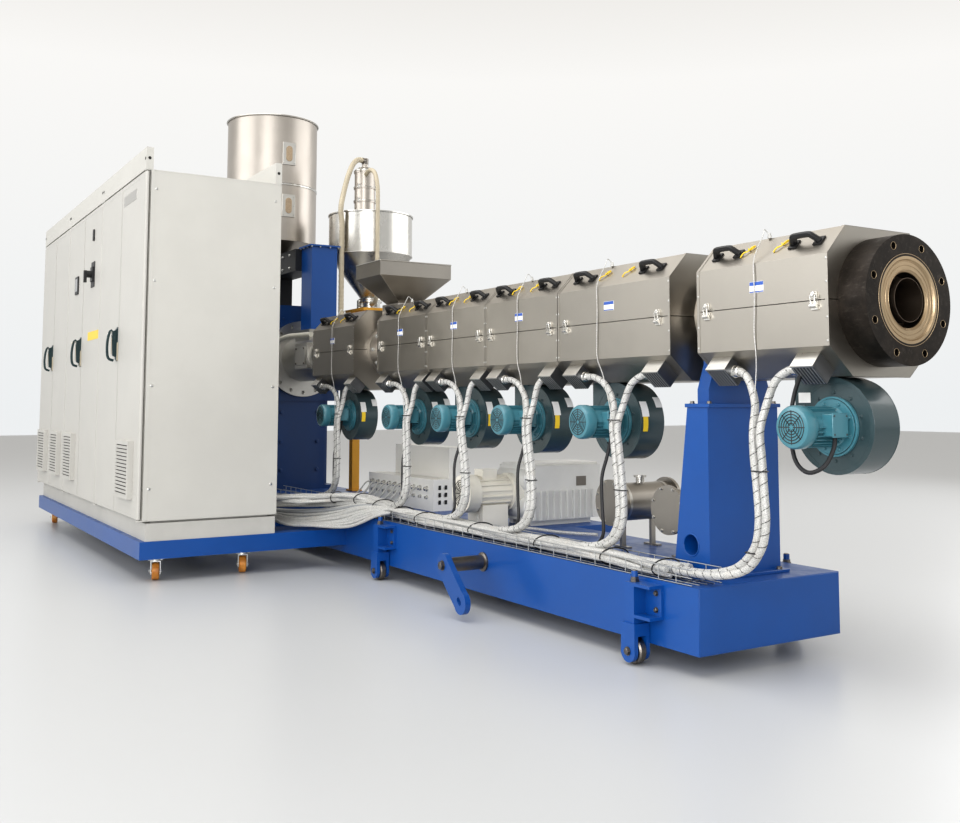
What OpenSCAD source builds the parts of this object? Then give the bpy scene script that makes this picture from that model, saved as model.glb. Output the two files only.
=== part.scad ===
// Twin-screw plastic extruder on a wheeled base, with its dosing hoppers and its
// electrical cabinet row standing on a platform beside the drive.
// X runs along the barrel towards the die flange, Y away from the cabinet doors.

/* [Base] */
// Length of the base from the drive end to the front
base_len = 6700; // [6300:50:7100]
// Width of the base
base_w = 758; // [700:2:820]
// Height of the base beams with the deck
base_h = 245; // [200:5:300]
// Free height under the base
base_clear = 80; // [60:5:120]
// Width of each base beam
beam_w = 120; // [90:5:150]
// Thickness of the deck plate
deck_t = 12; // [6:1:20]
// Distance of the base's drive end from the cabinet row's end
base_rear_x = 60; // [0:10:200]

/* [Barrel and heater covers] */
// Height of the barrel axis over the floor
axis_h = 1350; // [1250:10:1450]
// Outer radius of the barrel
barrel_r = 120; // [100:5:140]
// Radius of the barrel's joint flanges
joint_r = 172; // [150:2:200]
// Thickness of one barrel joint flange
joint_t = 38; // [25:1:50]
// Running gap between barrel and cover
cover_fit = 0.3; // [0.2:0.1:0.6]
// Where the first heater cover starts
zone_1_x = 2738; // [2700:2:2780]
// Length of the first heater cover
zone_1_len = 695; // [640:5:740]
// Free barrel between the first and second cover
vent_gap = 350; // [300:5:400]
// Length of the second to fourth cover
zone_len = 642; // [600:2:680]
// Narrow joint between neighbouring covers
zone_joint = 4; // [2:1:8]
// Length of the fifth cover
zone_5_len = 775; // [720:5:820]
// Free barrel where the front pedestal holds it
saddle_gap = 158; // [140:2:200]
// Length of the sixth cover
zone_6_len = 637; // [600:1:680]
// Half width of a cover
cover_half_w = 265; // [240:5:290]
// Half height of a cover's upright side
cover_side_h = 157; // [140:1:170]
// Half height of a cover
cover_half_h = 258; // [240:2:280]
// Half width of a cover's top
cover_top_w = 172; // [150:2:190]
// Half width of a cover's bottom
cover_bottom_w = 150; // [130:2:170]
// Open seam between the upper and lower cover shell
seam = 3; // [2:0.5:5]

/* [Die flange] */
// Outer radius of the die flange
flange_r = 225; // [210:1:240]
// Thickness of the die flange
flange_t = 118; // [90:1:140]
// Radius of the round outlet bore
outlet_r = 96; // [80:1:105]
// Depth of the wide outlet bore
outlet_depth = 70; // [50:5:90]
// Radius of the inner sleeve's bore
sleeve_r = 76; // [60:1:80]
// Radius of the bronze centring ring
ring_r = 150; // [140:1:160]
// Thickness of the bronze centring ring
ring_t = 16; // [10:1:24]
// Pitch circle of the die bolts
bolt_pcd = 390; // [370:2:410]
// Radius of a die bolt hole
bolt_r = 12.5; // [10:0.5:14]
// Depth of a die bolt hole
bolt_depth = 60; // [40:5:80]

/* [Feed section and drive] */
// Length of the feed section behind the first cover
feed_len = 905; // [850:5:950]
// Radius of the round feed housing
feed_r = 150; // [140:2:165]
// Radius of the drive's big flange
drive_flange_r = 297; // [280:1:310]
// Thickness of the drive's big flange
drive_flange_t = 45; // [30:1:60]
// Length of the gearbox
gearbox_len = 900; // [800:10:1000]
// Width of the gearbox
gearbox_w = 640; // [600:10:700]
// Height of the gearbox over the barrel axis
gearbox_up = 420; // [380:10:450]
// Width of the gearbox foot
gearbox_foot_w = 430; // [400:10:500]
// Length of the main motor
motor_len = 980; // [850:10:1080]
// Radius of the main motor
motor_r = 240; // [200:5:260]

/* [Hoppers] */
// Height of the dosing column's top over the floor
column_top = 2200; // [2150:10:2300]
// Width of the square dosing column
column_w = 205; // [190:5:220]
// Distance of the dosing column's middle from the first cover
column_back = 560; // [500:10:600]
// Radius of the main hopper
hopper_r = 365; // [340:5:380]
// Height of the main hopper's round wall
hopper_h = 1020; // [900:10:1200]
// Height of the main hopper's flat cone
hopper_cone_h = 110; // [80:5:140]
// Wall of the hoppers
hopper_wall = 5; // [3:1:8]
// Radius of the round feed hopper
feed_hopper_r = 330; // [300:2:340]
// Height of the feed hopper's round wall
feed_hopper_h = 316; // [280:2:360]
// Height of the feed hopper's cone
feed_cone_h = 345; // [300:5:380]
// Radius of the vacuum loader on the feed hopper
loader_r = 88; // [80:1:110]
// Height of the vacuum loader
loader_h = 375; // [340:5:400]
// Outer length of the vent hopper along the barrel
tray_len = 365; // [340:5:400]
// Outer width of the vent hopper across the barrel
tray_w = 505; // [470:5:540]
// Height of the vent hopper's upright rim
tray_rim = 90; // [70:5:120]
// Height of the vent hopper's funnel
tray_funnel = 165; // [140:5:200]

/* [Front pedestal] */
// Width of the pedestal's foot along the barrel
pedestal_foot = 205; // [180:5:240]
// Width of the pedestal's top along the barrel
pedestal_head = 115; // [105:5:150]
// Width of the pedestal across the barrel
pedestal_w = 385; // [360:5:420]

/* [Blowers] */
// Radius of a blower's round housing
fan_r = 165; // [150:1:175]
// Width of a blower's housing
fan_w = 128; // [110:1:140]
// Height of a blower's shaft over the floor
fan_h = 920; // [900:5:925]
// Radius of a blower motor
fan_motor_r = 74; // [65:1:80]
// Length of a blower motor
fan_motor_len = 205; // [190:5:240]

/* [Cabinet row] */
// Where the cabinet row's near end stands beside the barrel
row_end_x = 3600; // [3500:10:3700]
// Width of one cabinet with its two door leaves
cabinet_w = 1180; // [1140:10:1200]
// Depth of a cabinet with its doors
cabinet_d = 809; // [760:1:850]
// Height of a cabinet
cabinet_h = 2000; // [1800:20:2200]
// Thickness of the cabinet's walls
wall_t = 25; // [15:1:35]
// Thickness of a door leaf
door_t = 22; // [18:1:30]
// Free slit between door leaves and behind them
door_gap = 6; // [5:1:9]
// Radius of a door's hinge pin
pin_r = 4; // [3:0.5:6]
// Running gap of a hinge pin in its lug
pin_fit = 0.08; // [0.02:0.02:0.1]
// Thickness of a hinge lug
lug_t = 6; // [4:1:8]
// Height of the cabinet's plinth
plinth_h = 100; // [80:5:120]
// Dark slit between plinth and cabinet
plinth_slit = 12; // [6:1:16]
// Height of the lifting rails on the cabinet roof
lift_rail_h = 128; // [100:2:140]
// Width of a lifting rail
lift_rail_w = 40; // [30:1:50]
// Distance of the door fronts from the barrel axis
cabinet_front_y = 1640; // [1600:5:1700]

/* [Platform and casters] */
// Height of the platform's beams
platform_h = 100; // [80:5:120]
// Width of a platform beam
platform_beam = 100; // [80:5:120]
// Height of a caster
caster_h = 128; // [110:1:140]
// Radius of a caster wheel
caster_r = 50; // [40:1:56]
// Width of a caster wheel
caster_w = 40; // [34:1:44]

/* [Hidden] */
$fn = 48;

zone_lengths = [zone_1_len, zone_len, zone_len, zone_len, zone_5_len, zone_6_len];
zone_2_x = zone_1_x + zone_1_len + vent_gap;
zone_starts = [
    zone_1_x,
    zone_2_x,
    zone_2_x + zone_len + zone_joint,
    zone_2_x + 2 * (zone_len + zone_joint),
    zone_2_x + 3 * (zone_len + zone_joint),
    zone_2_x + 3 * (zone_len + zone_joint) + zone_5_len + saddle_gap
];
zones = [0:5];
function zone_mid(i) = zone_starts[i] + zone_lengths[i] / 2;
function zone_end(i) = zone_starts[i] + zone_lengths[i];

barrel_front_x = zone_end(5);
flange_face_x = barrel_front_x + flange_t;
saddle_x = zone_end(4) + saddle_gap / 2;
vent_x = zone_end(0) + vent_gap / 2;
base_front_x = base_rear_x + base_len;
base_top = base_clear + base_h;
drive_face_x = zone_1_x - feed_len;

row_start_x = row_end_x - 3 * cabinet_w;
platform_top = caster_h + platform_h;
cabinet_back_y = cabinet_front_y - cabinet_d;
shell_bottom = platform_top + plinth_h + plinth_slit;
shell_top = shell_bottom + cabinet_h;

// The whole object is moved so that the origin is under the middle of its box.
switch_reach = 62;
feed_hopper_x = 2101;
feed_hopper_y = 465;
lid_rim = 8;
x_mid = (min(row_start_x, base_rear_x) + flange_face_x) / 2;
y_mid = (feed_hopper_y + feed_hopper_r + lid_rim - cabinet_front_y - switch_reach) / 2;

module place() {
    translate([-x_mid, -y_mid, 0]) children();
}

module box(x0, x1, y0, y1, z0, z1) {
    translate([x0, y0, z0]) cube([x1 - x0, y1 - y0, z1 - z0]);
}

// A round bar along X, Y or Z
module bar_x(x0, x1, y, z, r) {
    translate([x0, y, z]) rotate([0, 90, 0]) cylinder(h = x1 - x0, r = r);
}

module bar_y(x, y0, y1, z, r) {
    translate([x, y0, z]) rotate([-90, 0, 0]) cylinder(h = y1 - y0, r = r);
}

module bar_z(x, y, z0, z1, r) {
    translate([x, y, z0]) cylinder(h = z1 - z0, r = r);
}

// A tube swept along points, with a ring at each point and flat ends
function unit(v) = v / norm(v);
function tangent(p, i) = unit(p[min(i + 1, len(p) - 1)] - p[max(i - 1, 0)]);
function side_of(t, up) = unit(cross(t, up));
function smooth_step(p, i) = let (
    a = p[max(i - 1, 0)], b = p[i], c = p[min(i + 1, len(p) - 1)], d = p[min(i + 2, len(p) - 1)]
) [for (s = [0, 1 / 3, 2 / 3]) b + (c - a) * s / 2
    + (2 * a - 5 * b + 4 * c - d) * s * s / 2 + (3 * b - a - 3 * c + d) * s * s * s / 2];
function smooth(p) = concat(
    [for (i = [0:len(p) - 2]) each smooth_step(p, i)],
    [p[len(p) - 1]]
);

module swept_tube(points, wide, high, up = [0, 1, 0], sides = 8) {
    rings = len(points);
    skin = [for (i = [0:rings - 1]) let (t = tangent(points, i), s = side_of(t, up), u = cross(s, t))
        each [for (k = [0:sides - 1]) points[i]
            + s * wide / 2 * cos(360 * (k + 0.5) / sides) + u * high / 2 * sin(360 * (k + 0.5) / sides)]];
    walls = [for (i = [0:rings - 2]) each [for (k = [0:sides - 1])
        let (n = (k + 1) % sides, a = i * sides + k, b = i * sides + n)
        each [[a, a + sides, b], [b, a + sides, b + sides]]]];
    first = [for (k = [0:sides - 1]) k];
    last = [for (k = [sides - 1:-1:0]) (rings - 1) * sides + k];
    polyhedron(points = skin, faces = concat(walls, [first, last]), convexity = 8);
}

// Base: two long box beams, cross beams and a deck plate
cross_beams = 6;
module base_frame() {
    color([0.03, 0.22, 0.62]) place() {
        for (side = [-1, 1]) mirror([0, side < 0 ? 1 : 0, 0])
            box(base_rear_x, base_front_x, base_w / 2 - beam_w, base_w / 2, base_clear, base_top - deck_t);
        pitch = (base_len - beam_w) / (cross_beams - 1);
        for (i = [0:cross_beams - 1])
            box(base_rear_x + i * pitch, base_rear_x + i * pitch + beam_w,
                beam_w - base_w / 2, base_w / 2 - beam_w, base_clear, base_top - deck_t);
        box(base_rear_x, base_front_x, -base_w / 2, base_w / 2, base_top - deck_t, base_top);
    }
}

// Jack wheels: a bracket on the base's flank, an upright square leg, a fork and a wheel
jack_out = 41;
jack_leg = 58;
jack_plate_t = 12;
jack_bracket_h = 130;
jack_wheel_r = 52;
jack_wheel_w = 34;
jack_axle_r = 12;
jack_fork_gap = 40;
jack_fork_h = 158;
jack_y = base_w / 2 + jack_out;
jack_places = [base_front_x - 313, base_front_x - 2585, base_rear_x + 420];
jack_top = base_top - 14;
fork_half = jack_leg / 2 + 12;
fork_cheek = (jack_leg + 18 - jack_fork_gap) / 2;

module at_jacks() {
    for (side = [-1, 1]) mirror([0, side < 0 ? 1 : 0, 0])
        for (x = jack_places) translate([x, jack_y, 0]) children();
}

module jack_brackets() {
    color([0.03, 0.22, 0.62]) place() at_jacks() {
        // back plate on the base beam, two shelves and the leg
        difference() {
            union() {
                box(-jack_leg / 2, 121, -jack_out, jack_plate_t - jack_out, jack_top - jack_bracket_h, jack_top);
                box(-jack_leg / 2, 121, -jack_out, jack_leg / 2, jack_top - jack_plate_t, jack_top);
                box(-jack_leg / 2, 121, -jack_out, jack_leg / 2, jack_top - jack_bracket_h,
                    jack_top - jack_bracket_h + jack_plate_t);
                box(-jack_leg / 2, jack_leg / 2, -jack_leg / 2, jack_leg / 2, jack_fork_h, jack_top);
                bar_z(0, 0, jack_top, jack_top + 42, 13);
            }
            for (z = [jack_top - jack_bracket_h + 34, jack_top - 34])
                bar_y(92, -jack_out - 1, jack_plate_t - jack_out + 1, z, 8);
        }
        // fork with a rounded foot round the axle
        for (cheek = [-1, 1]) mirror([0, cheek < 0 ? 1 : 0, 0]) difference() {
            union() {
                box(-fork_half, fork_half, jack_fork_gap / 2, jack_fork_gap / 2 + fork_cheek,
                    jack_wheel_r, jack_fork_h);
                bar_y(0, jack_fork_gap / 2, jack_fork_gap / 2 + fork_cheek, jack_wheel_r, 42);
            }
            bar_y(0, jack_fork_gap / 2 - 1, jack_fork_gap / 2 + fork_cheek + 1, jack_wheel_r, jack_axle_r);
        }
        box(-fork_half, fork_half, -jack_fork_gap / 2, jack_fork_gap / 2, 2 * jack_wheel_r + 6, jack_fork_h);
    }
}

module jack_wheels() {
    color([0.14, 0.14, 0.15]) place() at_jacks() {
        translate([0, jack_wheel_w / 2, jack_wheel_r]) rotate([90, 0, 0]) rotate_extrude($fn = 64)
            polygon([[0, 0], [jack_wheel_r - 6, 0], [jack_wheel_r, 6], [jack_wheel_r, jack_wheel_w - 6],
                [jack_wheel_r - 6, jack_wheel_w], [0, jack_wheel_w]]);
        bar_y(0, -jack_leg / 2 - 10, jack_leg / 2 + 10, jack_wheel_r, jack_axle_r - 0.3);
    }
}

// Lever on a round shaft that comes out of the near base beam
lever_x = base_front_x - 1515;
lever_z = 232;
lever_out = 200;
lever_arm = 222;
lever_lean = 48;
lever_r = 56;
lever_t = 28;
module lever_shaft() {
    color([0.25, 0.23, 0.21]) place()
        bar_y(lever_x, -base_w / 2 - lever_out, -base_w / 2, lever_z, 34);
}

module tow_lever() {
    color([0.03, 0.22, 0.62]) place()
        translate([lever_x, -base_w / 2 - lever_out, lever_z]) rotate([90, 0, 0]) rotate([0, 0, lever_lean])
        linear_extrude(lever_t) difference() {
            union() {
                circle(lever_r);
                translate([0, -lever_arm]) circle(lever_r - 2);
                polygon([[3 - lever_r, 0], [lever_r - 3, 0], [lever_r - 5, -lever_arm], [5 - lever_r, -lever_arm]]);
            }
            translate([0, -lever_arm]) circle(13);
            translate([0, -lever_arm + 16]) circle(13);
            translate([-13, -lever_arm]) square([26, 16]);
        }
}

// Front pedestal: a tapered box column that carries a saddle under the barrel
saddle_plate = 64;
saddle_r = joint_r + cover_fit;
pedestal_top = 995;
module front_pedestal() {
    face = 50;
    color([0.03, 0.22, 0.62]) place() translate([saddle_x, 0, 0]) difference() {
        union() {
            translate([0, pedestal_w / 2, 0]) rotate([90, 0, 0]) linear_extrude(pedestal_w)
                polygon([[face - pedestal_foot, base_top], [face, base_top],
                    [face, pedestal_top], [face - pedestal_head, pedestal_top]]);
            translate([-saddle_plate / 2, 0, 0]) rotate([90, 0, 90]) linear_extrude(saddle_plate)
                polygon([[-pedestal_w / 2 + 25, pedestal_top], [pedestal_w / 2 - 25, pedestal_top],
                    [pedestal_w / 2 - 25, pedestal_top + 60], [pedestal_w / 2 - 60, pedestal_top + 160],
                    [pedestal_w / 2 - 60, axis_h - 60], [60 - pedestal_w / 2, axis_h - 60],
                    [60 - pedestal_w / 2, pedestal_top + 160], [25 - pedestal_w / 2, pedestal_top + 60]]);
        }
        bar_x(-saddle_plate, saddle_plate, 0, axis_h, saddle_r);
        bar_y(-54, -pedestal_w / 2 - 1, pedestal_w / 2 + 1, base_top + 118, 40);
    }
}

// Barrel with bolted joint flanges in its free stretches
module barrel() {
    color([0.55, 0.53, 0.5]) place() difference() {
        union() {
            bar_x(zone_1_x, barrel_front_x, 0, axis_h, barrel_r);
            bar_x(zone_end(0) + 1, zone_end(0) + 1 + joint_t, 0, axis_h, joint_r);
            bar_x(zone_2_x - 1 - joint_t, zone_2_x - 1, 0, axis_h, joint_r);
            bar_x(saddle_x - joint_t, saddle_x + joint_t, 0, axis_h, joint_r);
            box(vent_x - 110, vent_x + 110, -95, 95, axis_h, vent_port_top);
        }
        bar_x(barrel_front_x - 600, barrel_front_x + 1, 0, axis_h, sleeve_r);
        box(vent_x - 55, vent_x + 55, -45, 45, axis_h + 60, vent_port_top + 1);
    }
}
vent_port_top = axis_h + cover_half_h + 30;

module die_flange() {
    color([0.13, 0.12, 0.12]) place() difference() {
        bar_x(barrel_front_x, flange_face_x, 0, axis_h, flange_r);
        bar_x(flange_face_x - ring_t, flange_face_x + 1, 0, axis_h, ring_r);
        bar_x(flange_face_x - outlet_depth, flange_face_x + 1, 0, axis_h, outlet_r);
        bar_x(barrel_front_x - 1, flange_face_x, 0, axis_h, sleeve_r);
        for (k = [0:7]) translate([0, 0, axis_h]) rotate([45 * k + 22.5, 0, 0]) translate([0, 0, -axis_h])
            bar_x(flange_face_x - bolt_depth, flange_face_x + 1, 0, axis_h + bolt_pcd / 2, bolt_r);
    }
}

module centring_ring() {
    color([0.66, 0.52, 0.36]) place() translate([flange_face_x - ring_t, 0, axis_h]) rotate([0, 90, 0])
        rotate_extrude($fn = 96) polygon([[outlet_r, 0], [ring_r, 0], [ring_r, ring_t], [ring_r - 10, ring_t],
            [ring_r - 14, ring_t - 5], [outlet_r + 6, ring_t - 5], [outlet_r, ring_t - 10]]);
}

// Octagonal heater cover in two shells that meet on a seam at barrel height
module cover_outline(low, high) {
    intersection() {
        polygon([[-cover_half_w, -cover_side_h], [-cover_bottom_w, -cover_half_h],
            [cover_bottom_w, -cover_half_h], [cover_half_w, -cover_side_h], [cover_half_w, cover_side_h],
            [cover_top_w, cover_half_h], [-cover_top_w, cover_half_h], [-cover_half_w, cover_side_h]]);
        translate([-cover_half_w - 1, low]) square([2 * cover_half_w + 2, high - low]);
    }
}

module heater_cover(i) {
    color([0.66, 0.65, 0.62]) place() translate([zone_starts[i], 0, axis_h]) rotate([90, 0, 90])
        linear_extrude(zone_lengths[i]) difference() {
            union() {
                cover_outline(-cover_half_h - 1, -seam / 2);
                cover_outline(seam / 2, cover_half_h + 1);
            }
            circle(barrel_r + cover_fit, $fn = 96);
        }
}

// Ribbed terminal boxes on the near lower bevel of each cover
terminal_len = 100;
terminal_deep = 62;
terminal_high = 92;
terminal_insets = [14, 14, 25, 35, 60, 60];
bevel_turn = atan2(cover_half_h - cover_side_h, cover_half_w - cover_bottom_w);
bevel_mid_y = -(cover_half_w + cover_bottom_w) / 2;
bevel_mid_z = axis_h - (cover_half_h + cover_side_h) / 2;
module at_bevel(x) {
    translate([x, bevel_mid_y, bevel_mid_z]) rotate([180 - bevel_turn, 0, 0]) children();
}

function terminal_starts(i) = [zone_starts[i] + terminal_insets[i], zone_end(i) - terminal_insets[i] - terminal_len];

module terminal_boxes() {
    color([0.5, 0.49, 0.47]) place() for (i = zones) for (x = terminal_starts(i)) at_bevel(x) difference() {
        translate([0, -terminal_high / 2, 0]) cube([terminal_len, terminal_high, terminal_deep]);
        for (k = [1:6]) translate([k * terminal_len / 7 - 2, 6 - terminal_high / 2, terminal_deep - 4])
            cube([4, terminal_high - 12, 5]);
    }
}

// Blowers: a spiral housing with an upright outlet duct under each cover
fan_front_y = -148;
fan_shifts = [35, 17, -20, -49, -103, 233];
lead_shifts = [128, 110, 90, 76, 37, -18];
duct_len = 120;
function fan_x(i) = zone_mid(i) + fan_shifts[i];
module blower_housings() {
    room = axis_h - cover_half_h - fan_h;
    color([0.2, 0.26, 0.27]) place() for (i = zones) {
        translate([fan_x(i), fan_front_y + fan_w, fan_h]) rotate([90, 0, 0]) linear_extrude(fan_w) intersection() {
            union() {
                circle(fan_r, $fn = 64);
                translate([-14, 6]) circle(fan_r, $fn = 64);
                translate([-fan_r - 10, 0]) square([duct_len, room]);
            }
            translate([-2 * fan_r, -2 * fan_r]) square([4 * fan_r, 2 * fan_r + room]);
        }
        bar_y(fan_x(i), fan_front_y - 12, fan_front_y, fan_h, fan_motor_r + 22);
    }
}

module blower_motors() {
    color([0.25, 0.55, 0.6]) place() for (i = zones) {
        face = fan_front_y - 12;
        bar_y(fan_x(i), face - 60, face, fan_h, fan_motor_r - 12);
        for (k = [0:11]) translate([fan_x(i), 0, fan_h]) rotate([0, 30 * k, 0])
            box(-3, 3, face - 150, face - 45, 0, fan_motor_r - 1);
        bar_y(fan_x(i), face - 160, face - 50, fan_h, fan_motor_r - 10);
        bar_y(fan_x(i), face - fan_motor_len, face - 155, fan_h, fan_motor_r);
        box(fan_x(i) - 22, fan_x(i) + 62, face - 110, face - 22, fan_h - 8, fan_h + 70);
    }
}

// Sleeved heater leads: out of the terminal boxes, round an elbow and down in pairs to the tray
conduit_r = 16;
conduit_bend = 180;
conduit_y = -258;
conduit_z = bevel_mid_z - 10;
conduit_pair = 36;
tray_y = -base_w / 2 + 82;
tray_w_out = 150;
tray_h = 62;
bundle_top = base_top + 58;
// The last pair turns back over the tray, one lead above the other
back_end = base_front_x - 220;
back_bend = 60;
function conduit_x(i, end) = zone_mid(i) + lead_shifts[i] + end * conduit_pair;
module elbow(bend) {
    rotate([90, 0, 0]) rotate_extrude(angle = 90, $fn = 48) translate([bend, 0]) circle(conduit_r, $fn = 24);
}
module conduit_half(run, low) {
    bend = min(conduit_bend, run);
    if (run > bend) bar_x(0, run - bend + 0.5, 0, 0, conduit_r);
    translate([run - bend, 0, -bend]) elbow(bend);
    bar_z(run, 0, low - conduit_z, 0.5 - bend, conduit_r);
}
// Lower elbow and run of a lead that comes down in front of the tray's end
module conduit_back(x, low) {
    translate([x - back_bend, conduit_y, low + back_bend]) rotate([0, 90, 0]) elbow(back_bend);
    bar_x(back_end, x - back_bend + 0.5, conduit_y, low, conduit_r);
}

module heater_conduits() {
    color([0.86, 0.86, 0.84]) place() for (i = zones) {
        x0 = terminal_starts(i)[0] + terminal_len + 0.3;
        x1 = terminal_starts(i)[1] - 0.3;
        back = [bundle_top + 17 + conduit_r + 35, bundle_top + 17];
        low = i == 5 ? [back[0] + back_bend - 0.5, back[1] + back_bend - 0.5] : [bundle_top, bundle_top];
        translate([x0, conduit_y, conduit_z]) conduit_half(conduit_x(i, 0) - x0, low[0]);
        translate([x1, conduit_y, conduit_z]) mirror([1, 0, 0]) conduit_half(x1 - conduit_x(i, 1), low[1]);
        if (i == 5) {
            conduit_back(conduit_x(i, 0), back[0]);
            conduit_back(conduit_x(i, 1), back[1]);
        }
    }
}

// Wire basket tray along the near edge of the deck
tray_x0 = drive_face_x + 250;
tray_x1 = base_front_x - 40;
tray_wire = 5;
tray_pitch = 150;
module cable_tray() {
    color([0.62, 0.64, 0.66]) place() {
        y0 = tray_y - tray_w_out / 2;
        for (y = [y0, y0 + tray_w_out / 2, y0 + tray_w_out])
            box(tray_x0, tray_x1, y - tray_wire / 2, y + tray_wire / 2, base_top, base_top + tray_wire);
        for (y = [y0, y0 + tray_w_out])
            box(tray_x0, tray_x1, y - tray_wire / 2, y + tray_wire / 2, base_top + tray_h - tray_wire, base_top + tray_h);
        for (k = [0:floor((tray_x1 - tray_x0 - tray_wire) / tray_pitch)]) {
            x = tray_x0 + k * tray_pitch;
            box(x, x + tray_wire, y0 - tray_wire / 2, y0 + tray_w_out + tray_wire / 2, base_top, base_top + tray_wire);
            for (y = [y0, y0 + tray_w_out])
                box(x, x + tray_wire, y - tray_wire / 2, y + tray_wire / 2, base_top, base_top + tray_h);
        }
    }
}

// The bundle of leads that lies in the tray and crosses to the cabinets
bundle_z = base_top + tray_wire + 25.3;
bundle_points = [
    [3240, -925, 400], [3300, -840, 400], [3360, -720, 400], [3440, -600, 406], [3560, -480, 416],
    [3700, tray_y - 88, 420], [3860, tray_y - 28, 408], [4040, tray_y - 3, 378], [4250, tray_y, 356],
    for (x = [4500, 5000, 5500, 6000, 6300, 6560]) [x, tray_y, bundle_z]
];
module cable_bundle() {
    color([0.87, 0.86, 0.83]) place()
        swept_tube(smooth(bundle_points), 118, 50, up = [0, 0, 1], sides = 12);
}

// Vacuum pump, its motor, the junction box and the tanks on the far half of the deck
pump_reach = 655;
pump_x = 4700;
module pump_shelf() {
    color([0.03, 0.22, 0.62]) place()
        box(pump_x - 260, pump_x + 260, base_w / 2, pump_reach - 5, base_top - 60, base_top);
}

module vacuum_pump() {
    color([0.62, 0.64, 0.63]) place() {
        y0 = 150;
        y1 = pump_reach - 15;
        box(pump_x - 150, pump_x + 150, y0, y1, base_top + 30, base_top + 330);
        for (k = [0:9]) box(pump_x - 165, pump_x + 165, y0 + 30 + k * 44, y0 + 38 + k * 44, base_top + 36, base_top + 190);
        for (x = [-110, 70]) box(pump_x + x, pump_x + x + 40, y0 + 40, y1 - 40, base_top, base_top + 30);
    }
}

module pump_motor() {
    color([0.8, 0.79, 0.75]) place() {
        y0 = -190;
        z = base_top + 185;
        bar_y(pump_x, y0, y0 + 75, z, 101);
        bar_y(pump_x, y0 + 75, y0 + 290, z, 84);
        for (k = [0:17]) translate([pump_x, 0, z]) rotate([0, 20 * k, 0]) box(-2.5, 2.5, y0 + 70, y0 + 270, 60, 96);
        bar_y(pump_x, y0 + 285, y0 + 340, z, 104);
        box(pump_x - 80, pump_x + 80, y0 + 90, y0 + 250, base_top, z - 60);
        box(pump_x - 45, pump_x + 45, y0 + 110, y0 + 200, z + 50, z + 130);
    }
}

junction_x = 2900;
junction_len = 945;
junction_h = 196;
module junction_box() {
    color([0.88, 0.88, 0.86]) place() {
        difference() {
            box(junction_x, junction_x + junction_len, 100, 235, base_top, base_top + junction_h);
            for (r = [0:2]) for (c = [0:1])
                bar_x(junction_x + junction_len - 8, junction_x + junction_len + 1, 145 + 40 * c, base_top + 50 + 45 * r, 11);
        }
        box(junction_x + 130, junction_x + junction_len - 50, 242, 372, base_top, base_top + 2 * junction_h);
    }
}

module separator_tanks() {
    color([0.6, 0.57, 0.52]) place() for (x = [5750, 6155]) {
        bar_y(x, 20, 346, base_top + 212, 88);
        bar_y(x, 4, 20, base_top + 212, 107);
        bar_y(x, 346, 362, base_top + 212, 107);
        for (y = [70, 250]) {
            box(x - 50, x + 50, y, y + 26, base_top, base_top + 8);
            box(x - 8, x + 8, y, y + 26, base_top, base_top + 160);
        }
    }
}

// Feed section: round housing, feed throat block and the drive's big flange
throat_top = axis_h + 205;
column_x = zone_1_x - column_back;
// Port beside the feed throat where the suction hose ends
port_x = 2268;
port_y = 144;
module feed_section() {
    color([0.6, 0.59, 0.57]) place() difference() {
        union() {
            bar_x(drive_face_x, zone_1_x - 240, 0, axis_h, feed_r + 28);
            bar_x(zone_1_x - 240, zone_1_x - 1, 0, axis_h, feed_r);
            bar_x(zone_1_x - 50, zone_1_x - 4, 0, axis_h, joint_r);
            bar_x(drive_face_x, drive_face_x + drive_flange_t, 0, axis_h, drive_flange_r);
            box(column_x - 140, column_x + 140, -130, 130, axis_h, throat_top);
            box(port_x - 45, port_x + 45, 110, port_y + 40, throat_top - 75, throat_top);
        }
        for (k = [0:15]) translate([0, 0, axis_h]) rotate([22.5 * k, 0, 0]) translate([0, 0, -axis_h])
            bar_x(drive_face_x + 20, drive_face_x + drive_flange_t + 1, 0, axis_h + drive_flange_r - 32, 14);
    }
}

module gearbox() {
    x0 = drive_face_x - gearbox_len;
    color([0.03, 0.2, 0.56]) place() {
        translate([x0, 0, 0]) rotate([90, 0, 90]) linear_extrude(gearbox_len)
            polygon([[-gearbox_w / 2, axis_h - 330], [gearbox_w / 2, axis_h - 330],
                [gearbox_w / 2, axis_h + gearbox_up - 90], [gearbox_w / 2 - 90, axis_h + gearbox_up],
                [90 - gearbox_w / 2, axis_h + gearbox_up], [-gearbox_w / 2, axis_h + gearbox_up - 90]]);
        box(x0 + 40, drive_face_x - 20, -gearbox_foot_w / 2, gearbox_foot_w / 2, base_top, axis_h - 330);
        box(x0, drive_face_x, -gearbox_w / 2 - 25, gearbox_w / 2 + 25, axis_h - 14, axis_h + 14);
        for (x = [x0 + 200, x0 + 450, x0 + 700])
            box(x, x + 22, -gearbox_w / 2 + 20, gearbox_w / 2 - 20, base_top, axis_h - 330);
        box(x0 + 20, drive_face_x - 20, 10 - gearbox_w / 2, gearbox_w / 2 - 10, base_top, base_top + 30);
    }
}

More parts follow.
